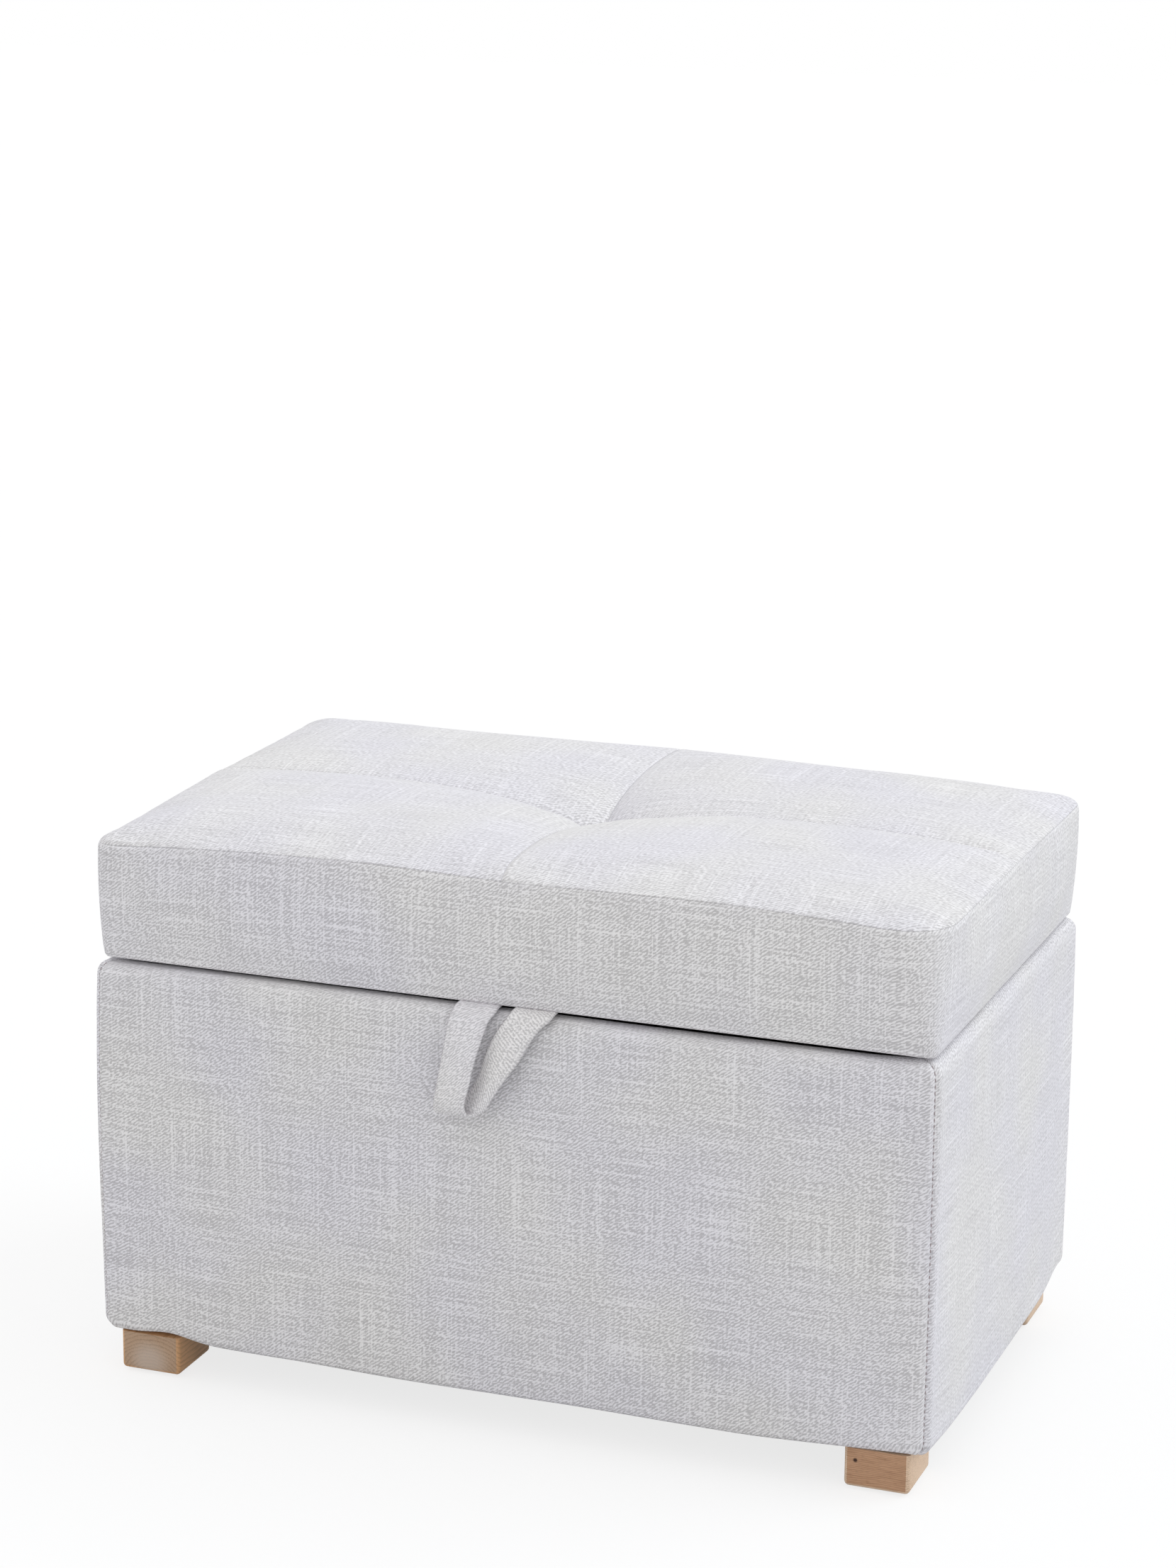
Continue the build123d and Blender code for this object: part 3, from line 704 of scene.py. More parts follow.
@dataclass
class Rows:
    """Geometry nodes that repeat one shape along paths."""

    shape: RowShape
    tree: NodeTree = field(init=False)

    def __post_init__(self) -> None:
        """Build the node group with its named inputs."""
        self.tree = bpy.data.node_groups.new(self.shape.value, "GeometryNodeTree")
        kinds = {"Geometry": "Geometry"} | {part.name.title(): "Float" for part in fields(RowSize)}
        for label, kind in (kinds | {"Seed": "Int", "Material": "Material"}).items():
            self.tree.interface.new_socket(name=label, in_out="INPUT", socket_type="NodeSocket" + kind)
        self.tree.interface.new_socket(name="Geometry", in_out="OUTPUT", socket_type="NodeSocketGeometry")
        kit = Sockets(self.tree)
        given = kit.add("NodeGroupInput").outputs
        lines = kit.add("GeometryNodeMeshToCurve", {"Mesh": given["Geometry"]}).outputs["Curve"]
        feeds = {"Curve": lines, "Length": given["Pitch"]}
        spots = kit.add("GeometryNodeCurveToPoints", feeds, mode="LENGTH").outputs
        feeds = {"Points": spots["Points"], "Rotation": self.turned(kit, given, spots["Tangent"])}
        if self.shape is RowShape.SCREW:
            feeds["Instance"] = self.screw(kit, given["Length"], given["Width"], given["Height"])
        else:
            feeds["Scale"] = kit.join(given["Length"], given["Width"], given["Height"])
            feeds["Instance"] = self.bar(kit)
        put = kit.add("GeometryNodeInstanceOnPoints", feeds).outputs["Instances"]
        real = kit.add("GeometryNodeRealizeInstances", {"Geometry": put}).outputs["Geometry"]
        dressed = kit.add("GeometryNodeSetMaterial", {"Geometry": real, "Material": given["Material"]})
        kit.add("NodeGroupOutput", {"Geometry": dressed.outputs["Geometry"]})

    @staticmethod
    def turned(kit: Sockets, given: NodeOutputs, tangent: NodeSocket) -> NodeSocket:
        """Turn that lays a piece along its path, faces it outwards and lets it wobble.

        Args:
            kit: Sockets helper of the group.
            given: The group's inputs.
            tangent: Direction of the path.

        Returns:
            The rotation's socket.
        """
        out = kit.add("GeometryNodeInputNamedAttribute", {"Name": "out"}, data_type="FLOAT_VECTOR")
        level = kit.add("FunctionNodeAlignRotationToVector", {"Vector": tangent}, axis="X")
        feeds = {"Rotation": level.outputs["Rotation"], "Vector": out.outputs["Attribute"]}
        facing = kit.add("FunctionNodeAlignRotationToVector", feeds, axis="Z", pivot_axis="X")
        wobble = given["Wobble"]
        feeds = {2: kit.math("MULTIPLY", wobble, -1.0), 3: wobble, "Seed": given["Seed"]}
        chance = kit.add("FunctionNodeRandomValue", feeds, data_type="FLOAT").outputs[1]
        twist = kit.add("FunctionNodeAxisAngleToRotation", {"Axis": (0.0, 0.0, 1.0), "Angle": chance})
        feeds = {"Rotation": facing.outputs["Rotation"], "Rotate By": twist.outputs["Rotation"]}
        return kit.add("FunctionNodeRotateRotation", feeds, rotation_space="LOCAL").outputs["Rotation"]

    def bar(self, kit: Sockets) -> NodeSocket:
        """A stitch of thread, or the crown of a staple, of unit size."""
        if self.shape is RowShape.STAPLE:
            return kit.add("GeometryNodeMeshCube").outputs["Mesh"]
        thread = kit.add("GeometryNodeMeshUVSphere", {"Segments": 8, "Rings": 5, "Radius": 0.5})
        smooth = kit.add("GeometryNodeSetShadeSmooth", {"Geometry": thread.outputs["Mesh"]})
        return smooth.outputs["Geometry"]

    @staticmethod
    def moved(kit: Sockets, shape: Node, height: object) -> NodeSocket:
        """A shape moved along its own upright axis."""
        feeds = {"Geometry": shape.outputs["Mesh"], "Translation": kit.join(0.0, 0.0, height)}
        return kit.add("GeometryNodeTransform", feeds).outputs["Geometry"]

    def screw(self, kit: Sockets, length: NodeSocket, width: NodeSocket, height: NodeSocket) -> NodeSocket:
        """A screw with a cross cut into its flat head, the head's top just above the path.

        Args:
            kit: Sockets helper of the group.
            length: Length of the cross.
            width: Width of the head.
            height: Thickness of the head.

        Returns:
            The screw's socket.
        """
        feeds = {"Vertices": 14, "Radius": kit.math("MULTIPLY", width, 0.5), "Depth": height}
        head = kit.add("GeometryNodeMeshCylinder", feeds)
        feeds = {"Mesh 1": self.moved(kit, head, kit.math("MULTIPLY", height, -0.35))}
        cut = kit.add("GeometryNodeMeshBoolean", feeds, operation="DIFFERENCE", solver="EXACT")
        narrow = kit.math("MULTIPLY", length, 0.24)
        for sides, level in (((length, narrow), 0.1), ((narrow, length), 0.12)):
            slot = kit.add("GeometryNodeMeshCube", {"Size": kit.join(*sides, height)})
            kit.feed(cut.inputs["Mesh 2"], self.moved(kit, slot, kit.math("MULTIPLY", height, level)))
        feeds = {"Vertices": 8, "Radius Top": 1.5 * MM, "Radius Bottom": 0.3 * MM, "Depth": 11.0 * MM}
        shank = self.moved(kit, kit.add("GeometryNodeMeshCone", feeds), -11.7 * MM)
        both = kit.add("GeometryNodeJoinGeometry", {"Geometry": cut.outputs["Mesh"]})
        kit.feed(both.inputs["Geometry"], shank)
        return both.outputs["Geometry"]

    def make(
        self, name: str, paths: list[RowPath], size: RowSize, material: Material, seed: int = 3
    ) -> Object:
        """Make one row, or several on the same body, as one mesh.

        Args:
            name: Name of the new piece.
            paths: Paths along which the shape is repeated.
            size: Size of the row's pieces.
            material: Finish of the piece.
            seed: Seed of the wobble.

        Returns:
            The new piece.
        """
        firsts = np.cumsum([0] + [len(path.points) for path in paths])
        edges = [(a + k, a + k + 1) for a, path in zip(firsts, paths) for k in range(len(path.points) - 1)]
        carrier = bpy.data.meshes.new(name + "_path")
        carrier.from_pydata(np.concatenate([path.points for path in paths]).tolist(), edges, [])
        out = np.concatenate([path.out for path in paths]).astype(np.float32)
        carrier.attributes.new("out", "FLOAT_VECTOR", "POINT").data.foreach_set("vector", out.ravel())
        piece = place(name, carrier)
        row = piece.modifiers.new("row", "NODES")
        row.node_group = self.tree
        values = {label.title(): value for label, value in asdict(size).items()}
        values |= {"Seed": seed, "Material": material}
        for item in self.tree.interface.items_tree:
            if item.in_out == "INPUT" and item.name in values:
                row[item.identifier] = values[item.name]
        shaped = piece.evaluated_get(bpy.context.evaluated_depsgraph_get())
        made = bpy.data.meshes.new_from_object(shaped)
        made.name = name
        piece.modifiers.clear()
        piece.data = made
        bpy.data.meshes.remove(carrier)
        return piece


# Box cover


@dataclass
class BoxCover:
    """Four linen panels sewn at the corners, turned over the rim and under the box."""

    finishes: Finishes
    corner_radius: float = 10.0 * MM
    least_radius: float = 3.0 * MM
    rim_radius: float = 9.0 * MM
    inner_radius: float = 5.0 * MM
    wall: float = 19.4 * MM
    turn_in: float = 50.0 * MM
    turn_under: float = 24.0 * MM
    hem_radius: float = 3.5 * MM
    corner_hem_radius: float = 10.5 * MM
    hem_reach: float = 45.0 * MM
    hem_fade: float = 40.0 * MM
    thickness: float = 1.0 * MM
    seam_depth: float = 1.1 * MM
    seam_width: float = 1.5 * MM
    pitch: float = 4.5 * MM
    outer_rows: int = 77
    sewn_rows: tuple[int, int] = (9, 74)

    def __post_init__(self) -> None:
        """Read the box from the solids."""
        lows, highs = zip(*[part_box(f"base_cover_{side.name.lower()}") for side in Side])
        self.low = Vector([min(p[k] for p in lows) for k in range(3)])
        self.high = Vector([max(p[k] for p in highs) for k in range(3)])

    def columns(self, half_length: float) -> tuple[ndarray, ndarray]:
        """Share of the straight run for each column of a panel, and its angle round the corner."""
        count = int(round(2.0 * half_length / self.pitch / 2.0)) * 2
        straight = np.linspace(-1.0, 1.0, count + 1)
        turn = np.radians([8.0, 16.0, 24.0, 31.0, 36.0, 40.0, 43.0, 45.0])
        shares = np.concatenate([-np.ones(len(turn)), straight, np.ones(len(turn))])
        return shares, np.concatenate([-turn[::-1], np.zeros(len(straight)), turn])

    def section(self, hem: ndarray) -> list[tuple[ndarray, ndarray]]:
        """A panel's section from the turned-under edge over the rim to the turned-in edge.

        Args:
            hem: Radius of the lower edge at each column.

        Returns:
            Distance behind the panel's face and height, row by row.
        """
        def steps(count: int) -> list[float]:
            """Shares from 0 to just below 1."""
            return list(np.linspace(0.0, 1.0, count + 1)[:-1])

        def quarters(count: int) -> list[tuple[float, float]]:
            """What is left of 1 beyond the sine and the cosine of angles up to a right one."""
            angles = [share * math.pi / 2.0 for share in steps(count)]
            return [(1.0 - math.sin(a), 1.0 - math.cos(a)) for a in angles]

        base, top, rim, inner = self.low.z, self.high.z, self.rim_radius, self.inner_radius
        rows = [(self.turn_under + (hem - self.turn_under) * t, base) for t in steps(4)]
        rows += [(hem * s, base + hem * c) for s, c in quarters(7)]
        rows += [(0.0, base + hem + (top - rim - base - hem) * t) for t in steps(57)]
        rows += [(rim * c, top - rim * s) for s, c in quarters(8)]
        rows += [(rim + (self.wall - inner - rim) * t, top) for t in steps(3)]
        rows += [(self.wall - inner * s, top - inner * c) for s, c in quarters(5)]
        rows += [(self.wall, top - inner - (self.turn_in - inner) * t) for t in np.linspace(0.0, 1.0, 8)]
        return [(np.broadcast_to(d, hem.shape), np.broadcast_to(z, hem.shape)) for d, z in rows]

    @staticmethod
    def hem_lift(side: Side, share: ndarray) -> ndarray:
        """How far the lower edge hangs below or rides above its mean line.

        Args:
            side: Panel.
            share: Place along the panel from -1 to 1.

        Returns:
            Lift in metres.
        """
        sag = -2.4 * (1.0 - smooth_step(np.abs(share), 0.55, 1.0))
        if side is Side.FRONT:
            sag += 4.2 * hill(share, -0.835, 0.07) + 0.5 * np.sin(9.0 * share)
        if side is Side.RIGHT:
            sag += 2.6 * hill(share, 0.88, 0.1) + 1.6 * smooth_step(share, 0.6, 0.9)
        if side is Side.BACK:
            sag += 2.2 * hill(share, -1.0, 0.08)
        return sag * MM

    def grid(self, side: Side) -> ClothGrid:
        """Points and weave places of one panel."""
        halves = (self.high.x, self.high.y)
        length, depth = halves if side in (Side.FRONT, Side.BACK) else halves[::-1]
        shares, angles = self.columns(length)
        run = shares * (length - self.corner_radius) + self.corner_radius * angles
        edge = np.max(np.abs(run)) - np.abs(run)
        near_corner = np.exp(-edge / self.hem_reach)
        hem = self.hem_radius + (self.corner_hem_radius - self.hem_radius) * near_corner
        rows = []
        for d, z in self.section(hem):
            radius = np.maximum(self.corner_radius - d, self.least_radius)
            s = shares * (length - d - radius) + radius * np.sin(angles)
            out = depth - d - radius + radius * np.cos(angles)
            rows.append(np.stack([s, -out, z], axis=-1))
        points = np.array(rows)
        weave = weave_map(run, travelled(points)) + side.value * 1.37
        turn = np.array(Matrix.Rotation(side.value * math.pi / 2.0, 3, "Z"))
        return ClothGrid(self.fill_out(self.settle_cloth(side, points, run, edge) @ turn.T), weave)

    def settle_cloth(self, side: Side, points: ndarray, run: ndarray, edge: ndarray) -> ndarray:
        """Let the hem wave, the seams draw in and the cloth lie slightly uneven.

        Args:
            side: Panel.
            points: Panel before, seen from the front.
            run: Place of each column along the panel.
            edge: Distance of each column from the nearest corner seam.

        Returns:
            The settled points.
        """
        height = points[..., 2] - self.low.z
        along = run / np.max(np.abs(run))
        outside = (np.arange(len(points)) < self.outer_rows)[:, None]
        lift = self.hem_lift(side, along) * np.exp(-np.maximum(height, 0.0) / self.hem_fade)
        lift[:4] *= np.array([0.0, 0.004, 0.06, 0.32])[:, None]
        moved = points.copy()
        moved[..., 2] += np.where(outside, lift, 0.0)
        if side is Side.FRONT:
            pressed = (0.3 + 0.7 * smooth_step(along, -0.6, 0.5)) * (1.0 - smooth_step(along, 0.86, 1.0))
            moved[..., 2] -= 1.4 * MM * pressed * smooth_step(height, 0.25, 0.268)
        seam = -self.seam_depth * hill(edge, 0.0, self.seam_width)
        seam += 0.35 * MM * hill(edge, 5.0 * MM, 3.0 * MM)
        key = points * np.array([1.0, 0.0, 1.0]) + np.array([side.value, 0.0, 0.0])
        broad = 0.55 * MM * wander(key, 0.11, 1.0 + side.value)
        fine = 0.16 * MM * wander(key, 0.03, 5.0 + side.value)
        pucker = 0.3 * MM * np.exp(-edge / (9.0 * MM)) * wander(key * np.array([0.0, 1.0, 1.0]), 0.011, 9.0)
        rim = 0.5 * MM * smooth_step(height, 0.235, 0.262) * wander(key, 0.05, 13.0)
        away = smooth_step(edge, 0.0, 6.0 * MM)
        bulge = seam + (broad + fine + rim) * away * np.where(outside, 1.0, 0.25) + pucker * away
        return moved + normals_of(points) * bulge[..., None]

    def fill_out(self, points: ndarray) -> ndarray:
        """Let the padded box stand fuller at its left and right ends, most near the top of the left one."""
        height = np.clip((points[..., 2] - self.low.z) / (self.high.z - self.low.z), 0.0, 1.0)
        left = 0.8 * MM + 2.6 * MM * np.sin(np.pi * height**1.4)
        right = 0.8 * MM + 0.6 * MM * np.sin(np.pi * height)
        along = points[..., 0] / self.high.x
        fuller = points.copy()
        fuller[..., 0] += np.where(along > 0, right, -left) * smooth_step(np.abs(along), 0.955, 0.995)
        return fuller

    def build(self) -> None:
        """Make, dress and settle the four panels."""
        for side in Side:
            name = side.name.lower()
            grid = self.grid(side)
            panel = cloth_mesh(f"cover_panel_{name}", [grid])
            thicken(panel, self.thickness)
            mark_relief_by_light(panel)
            nodes = [f"base_cover_{name}"] + (["base_wadding"] if side is Side.FRONT else [])
            settle(panel, self.finishes.linen, "linen", "box", *nodes)

    def corner_seams(self) -> list[RowPath]:
        """The four corner seams, from the hem up to the rim."""
        seams = []
        sewn = slice(*self.sewn_rows)
        for side in Side:
            points = self.grid(side).points
            out = normals_of(points)[sewn, -1]
            seams.append(RowPath(points[sewn, -1] + 0.15 * MM * out, out))
        return seams


# Lid


@dataclass
class LidCushion:
    """The tufted cushion: four sewn top panels, a border all round and the edge turned under the board."""

    finishes: Finishes
    cell: float = 6.0 * MM
    proud: float = 2.0 * MM
    back_gap: float = 0.2 * MM
    corner_radius: float = 20.0 * MM
    soft_radius: float = 34.0 * MM
    low_radius: float = 11.0 * MM
    draw_in: float = 3.6 * MM
    bow: float = 1.8 * MM
    seam_level: float = 389.6 * MM
    shoulder: float = 6.4 * MM
    shoulder_reach: float = 9.0 * MM
    crown: float = 6.6 * MM
    crown_reach: float = 46.0 * MM
    bottom_radius: float = 3.0 * MM
    turn_under: float = 35.0 * MM
    tuft_depth: float = 32.0 * MM
    tuft_reach: float = 50.0 * MM
    lobe_draw: float = 20.0 * MM
    valley: float = 3.2 * MM
    valley_reach: float = 16.0 * MM
    seam_depth: float = 0.6 * MM
    seam_width: float = 1.0 * MM
    seam_lines: tuple[float, ...] = (0.7 * MM, 1.4 * MM, 2.2 * MM)
    border_rows: int = 14
    puff_frames: int = 20
    puff_limit: float = 4.0 * MM

    def __post_init__(self) -> None:
        """Read the lid from the solids."""
        low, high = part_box("lid_border")
        self.half_x, self.half_y = high.x + self.proud, high.y - self.back_gap
        self.half = np.array([self.half_x, self.half_y])
        self.base = low.z

    def lines(self, half: float) -> ndarray:
        """Grid lines along one direction, with the middle one at 0."""
        return np.linspace(-half, half, 2 * int(round(half / self.cell)) + 1)

    def radius_at(self, flat: ndarray, fall: float = 0.0) -> ndarray:
        """Corner radius in plan, softest at the front right and sharper towards the board.

        Args:
            flat: Points in plan.
            fall: Share of the way from the top seam down to the board.

        Returns:
            Radius for each point.
        """
        x, y = flat[..., 0], flat[..., 1]
        upper = np.where((x > 0) & (y < 0), self.soft_radius, self.corner_radius)
        upper = np.where(x * y > 0, 0.7 * self.corner_radius, upper)
        return upper + (self.low_radius - upper) * fall

    def plan(self, xs: ndarray, ys: ndarray, fall: float = 0.0) -> ndarray:
        """Grid points in plan, with the corners rounded.

        Args:
            xs: Lines across the width.
            ys: Lines across the depth.
            fall: Share of the way from the top seam down to the board.

        Returns:
            Points as rows, columns and x, y.
        """
        square = np.stack(np.meshgrid(xs, ys), axis=-1)
        r = self.radius_at(square, fall)[..., None]
        share = np.clip((np.abs(square) - (self.half - r)) / r, 0.0, 1.0)
        rounded = self.half - r + r * share * np.sqrt(1.0 - share[..., ::-1] ** 2 / 2.0)
        in_corner = np.all(share > 0, axis=-1, keepdims=True)
        return np.where(in_corner, np.sign(square) * rounded, square)

    def edge_distance(self, flat: ndarray) -> ndarray:
        """Distance of points in plan from the lid's outline."""
        r = self.radius_at(flat)
        beyond = np.abs(flat) - (self.half - r[..., None])
        outside = np.linalg.norm(np.maximum(beyond, 0.0), axis=-1)
        return np.maximum(r - outside - np.minimum(beyond.max(axis=-1), 0.0), 0.0)

    def edge_level(self, x: ndarray, y: ndarray, edge: ndarray) -> ndarray:
        """Height of the seam between top and border, carried on inwards.

        Args:
            x: Places across the width.
            y: Places across the depth.
            edge: Distance from the outline.

        Returns:
            Heights in metres.
        """
        along = x / self.half_x
        middle = 3.6 * MM * (1.0 - along**2) - 1.6 * MM * smooth_step(along, 0.55, 1.0)
        corners = -4.6 * MM * hill(along, -1.0, 0.16) * smooth_step(-y, 0.0, self.half_y)
        corners -= 2.4 * MM * hill(along, 1.0, 0.2) * smooth_step(y, 0.0, self.half_y)
        wave = 0.9 * MM * np.sin(7.3 * along + 1.1) * np.clip(y / self.half_y, -1.0, 1.0)
        return self.seam_level + middle + (corners + wave) * np.exp(-edge / (14.0 * MM))

    def top_grid(self, xs: ndarray, ys: ndarray) -> ndarray:
        """Points of the crowned and tufted top before it is puffed."""
        flat = self.plan(xs, ys)
        x, y = flat[..., 0], flat[..., 1]
        edge = self.edge_distance(flat)
        rise_x = 1.0 - np.exp(-(self.half_x - np.abs(x)) / (1.4 * self.crown_reach))
        rise_y = 1.0 - np.exp(-(self.half_y - np.abs(y)) / self.crown_reach)
        shoulder = self.shoulder * (1.0 - np.exp(-edge / self.shoulder_reach))
        r = np.hypot(x, y)
        lobe = np.abs(np.sin(2.0 * np.arctan2(y, x))) ** 0.7
        tuft = self.tuft_depth * np.exp(-r / (self.tuft_reach - self.lobe_draw * lobe))
        across = np.exp(-np.abs(y) / self.valley_reach)
        along = np.exp(-np.abs(x) / self.valley_reach) * np.where(y > 0, 0.7, 0.25)
        fade = (0.4 + 0.6 * np.exp(-r / 0.14)) * smooth_step(edge, 0.0, 0.03)
        crown = shoulder + self.crown * rise_x * rise_y - tuft - self.valley * (across + along) * fade
        return raised(flat, self.edge_level(x, y, edge) + crown)

    @staticmethod
    def rim_of(grid: ndarray) -> ndarray:
        """The grid's outer points in order, from the middle of the back round by the left and the front."""
        middle = grid.shape[1] // 2
        back, left = grid[-1, middle:0:-1], grid[:0:-1, 0]
        front, right = grid[0, :-1], grid[:-1, -1]
        return np.concatenate([back, left, front, right, grid[-1, :middle:-1]])

    def outline(self, xs: ndarray, ys: ndarray, fall: float) -> tuple[ndarray, ndarray]:
        """The border's line in plan at one level.

        Args:
            xs: Lines across the width.
            ys: Lines across the depth.
            fall: Share of the way from the top seam down to the board.

        Returns:
            Points in the order of rim_of, and the outward direction at each.
        """
        flat = self.rim_of(self.plan(xs, ys, fall))
        core = self.half - self.radius_at(flat, fall)[:, None]
        return flat, unit(flat - np.clip(flat, -core, core))

    def side_grid(self, xs: ndarray, ys: ndarray, rim: ndarray) -> ndarray:
        """Points of the border below the top's edge and of the part turned under.

        Args:
            xs: Lines across the width.
            ys: Lines across the depth.
            rim: Edge of the top, in order.

        Returns:
            Rows from the edge down and then inwards.
        """
        rows = []
        foot = self.base + self.bottom_radius
        for share in np.arange(1, self.border_rows + 1) / self.border_rows:
            flat, outward = self.outline(xs, ys, share)
            bow = self.bow * math.sin(math.pi * share) ** 0.6 - self.draw_in * share
            rows.append(raised(flat + outward * bow, rim[:, 2] + (foot - rim[:, 2]) * share))
        thirds = np.arange(1, 4) / 3.0
        for angle in thirds * math.pi / 2.0:
            back = self.draw_in + self.bottom_radius * (1.0 - math.cos(angle))
            rows.append(raised(flat - outward * back, foot - self.bottom_radius * math.sin(angle)))
        edge = rows[-1]
        for way in thirds * (self.turn_under - self.bottom_radius):
            rows.append(raised(edge[:, :2] * (1.0 - way / self.half), edge[:, 2]))
        return np.array(rows)

    def cage(self, top: ndarray, sides: ndarray) -> Object:
        """The sewn cover as one mesh, with how firmly each point is held.

        Args:
            top: Points of the top.
            sides: Points of the border and the turned-under edge.

        Returns:
            The cage, with the vertex group held.
        """
        count = top.shape[0] * top.shape[1]
        ring = self.rim_of(np.arange(count).reshape(top.shape[:2]))
        below = count + np.arange(sides.shape[0] * sides.shape[1]).reshape(sides.shape[:2])
        numbers = np.concatenate([ring[None, :], below])
        faces = ClothGrid(top, top[..., :2]).faces(0).tolist()
        for upper, lower in zip(numbers, numbers[1:]):
            faces += np.stack([upper, lower, np.roll(lower, -1), np.roll(upper, -1)], axis=-1).tolist()
        points = np.concatenate([top.reshape(-1, 3), sides.reshape(-1, 3)])
        mesh = bpy.data.meshes.new("puff_cage")
        mesh.from_pydata(points.tolist(), [], faces)
        cage = place("puff_cage", mesh)
        on_top = np.arange(len(points)) < count
        weights = np.zeros(len(points))
        weights[on_top & (np.abs(points[:, :2]).min(axis=1) < 1e-6)] = 0.5
        weights[on_top & (np.hypot(points[:, 0], points[:, 1]) < 6.0 * MM)] = 1.0
        weights[ring] = 0.35
        weights[points[:, 2] < self.base + 6.0 * MM] = 1.0
        held = cage.vertex_groups.new(name="held")
        for value in np.unique(weights[weights > 0]):
            held.add(np.nonzero(weights == value)[0].tolist(), float(value), "REPLACE")
        return cage

    def puff(self, top: ndarray, sides: ndarray) -> tuple[ndarray, ndarray]:
        """Blow the sewn cover up by cloth simulation, held at the seams, the tuft and the board.

        Args:
            top: Points of the top.
            sides: Points of the border and the turned-under edge.

        Returns:
            The puffed top and sides.
        """
        cage = self.cage(top, sides)
        cloth = cage.modifiers.new("puff", "CLOTH")
        stuff = {"quality": 6, "mass": 0.3, "tension_stiffness": 12.0, "compression_stiffness": 8.0}
        stuff |= {"shear_stiffness": 6.0, "bending_stiffness": 1.5, "use_pressure": True}
        stuff |= {"uniform_pressure_force": 4.0, "vertex_group_mass": "held", "pin_stiffness": 1.0}
        for label, value in stuff.items():
            setattr(cloth.settings, label, value)
        cloth.settings.effector_weights.gravity = 0.0
        cloth.collision_settings.use_collision = False
        cloth.point_cache.frame_start = 1
        cloth.point_cache.frame_end = self.puff_frames
        scene = bpy.context.scene
        for step in range(1, self.puff_frames + 1):
            scene.frame_set(step)
        shaped = cage.evaluated_get(bpy.context.evaluated_depsgraph_get())
        points = np.concatenate([top.reshape(-1, 3), sides.reshape(-1, 3)])
        after = np.zeros(points.size)
        shaped.data.vertices.foreach_get("co", after)
        scene.frame_set(1)
        bpy.data.objects.remove(cage)
        move = after.reshape(-1, 3) - points
        size = np.linalg.norm(move, axis=-1, keepdims=True)
        LOG.info("puffed by %.1f mm at most, %.1f mm in the mean", size.max() / MM, size.mean() / MM)
        move *= self.puff_limit * np.tanh(size / self.puff_limit) / np.maximum(size, 1e-9)
        upper, lower = np.split(points + move, [top.shape[0] * top.shape[1]])
        return upper.reshape(top.shape), lower.reshape(sides.shape)

    def fine_lines(self, lines: ndarray) -> ndarray:
        """Places of a finer grid's lines, counted in coarse ones, closer at the seams."""
        last = len(lines) - 1
        places = list(np.arange(0, last + 0.25, 0.5))
        for gap in self.seam_lines:
            offset = gap / (lines[1] - lines[0])
            places += [last / 2.0 - offset, last / 2.0 + offset, offset, last - offset]
        return np.array(sorted({round(p, 4) for p in places}))

    @staticmethod
    def ring_places(last_x: int, last_y: int, fine_x: ndarray, fine_y: ndarray) -> ndarray:
        """Places along the coarse edge of the finer grid's outer points.

        Args:
            last_x: Number of the last coarse line across the width.
            last_y: Number of the last coarse line across the depth.
            fine_x: Finer lines across the width, counted in coarse lines.
            fine_y: Finer lines across the depth, counted in coarse lines.

        Returns:
            Places in the order of rim_of.
        """
        half, middle = last_x / 2.0, len(fine_x) // 2
        back = half - fine_x[middle:0:-1]
        left = half + last_y - fine_y[:0:-1]
        front = half + last_y + fine_x[:-1]
        right = half + last_y + last_x + fine_y[:-1]
        rest = half + 2 * last_y + 2 * last_x - fine_x[:middle:-1]
        return np.concatenate([back, left, front, right, rest])

    def build(self) -> None:
        """Make, dress and settle the cushion."""
        xs, ys = self.lines(self.half_x), self.lines(self.half_y)
        top = self.top_grid(xs, ys)
        sides = self.side_grid(xs, ys, self.rim_of(top))
        top, sides = self.puff(top, sides)
        fine_x, fine_y = self.fine_lines(xs), self.fine_lines(ys)
        whole = np.concatenate([self.rim_of(top)[None], sides])
        down = np.array([0.0, 0.06, 0.12, 0.2, 0.32, 0.5, 0.75, *np.arange(1.0, len(whole) - 0.75, 0.5)])
        round_about = self.ring_places(len(xs) - 1, len(ys) - 1, fine_x, fine_y)
        fine_top = resample_grid(top, fine_y, fine_x)
        fine_sides = resample_grid(whole, down, round_about, wrap=True)
        fine_sides[0] = self.rim_of(fine_top)
        self.finish_cloth(fine_top, fine_sides)

    def sew_top(self, top: ndarray) -> ndarray:
        """Draw the top in at its seams and let it lie slightly uneven."""
        flat = top[..., :2]
        near = np.abs(flat)
        edge = self.edge_distance(flat)
        cross = np.clip(hill(flat, 0.0, self.seam_width).sum(axis=-1), 0.0, 1.0)
        rolled = np.exp(-2.0 * (near / (4.0 * MM) - 1.0) ** 2).sum(axis=-1)
        key = raised(flat, 0.0)
        pucker = wander(key, 0.012, 21.0) * np.exp(-near.min(axis=-1) / (7.0 * MM))
        calm = smooth_step((self.half - near).min(axis=-1), 0.0, 10.0 * MM)
        uneven = (0.2 * MM * pucker + 0.5 * MM * wander(key, 0.07, 3.0)) * calm
        seams = -self.seam_depth * (cross + hill(edge, 0.0, self.seam_width))
        rolls = 0.25 * MM * rolled + 0.3 * MM * hill(edge, 3.5 * MM, 2.5 * MM)
        return top + normals_of(top) * (seams + rolls + uneven)[..., None]

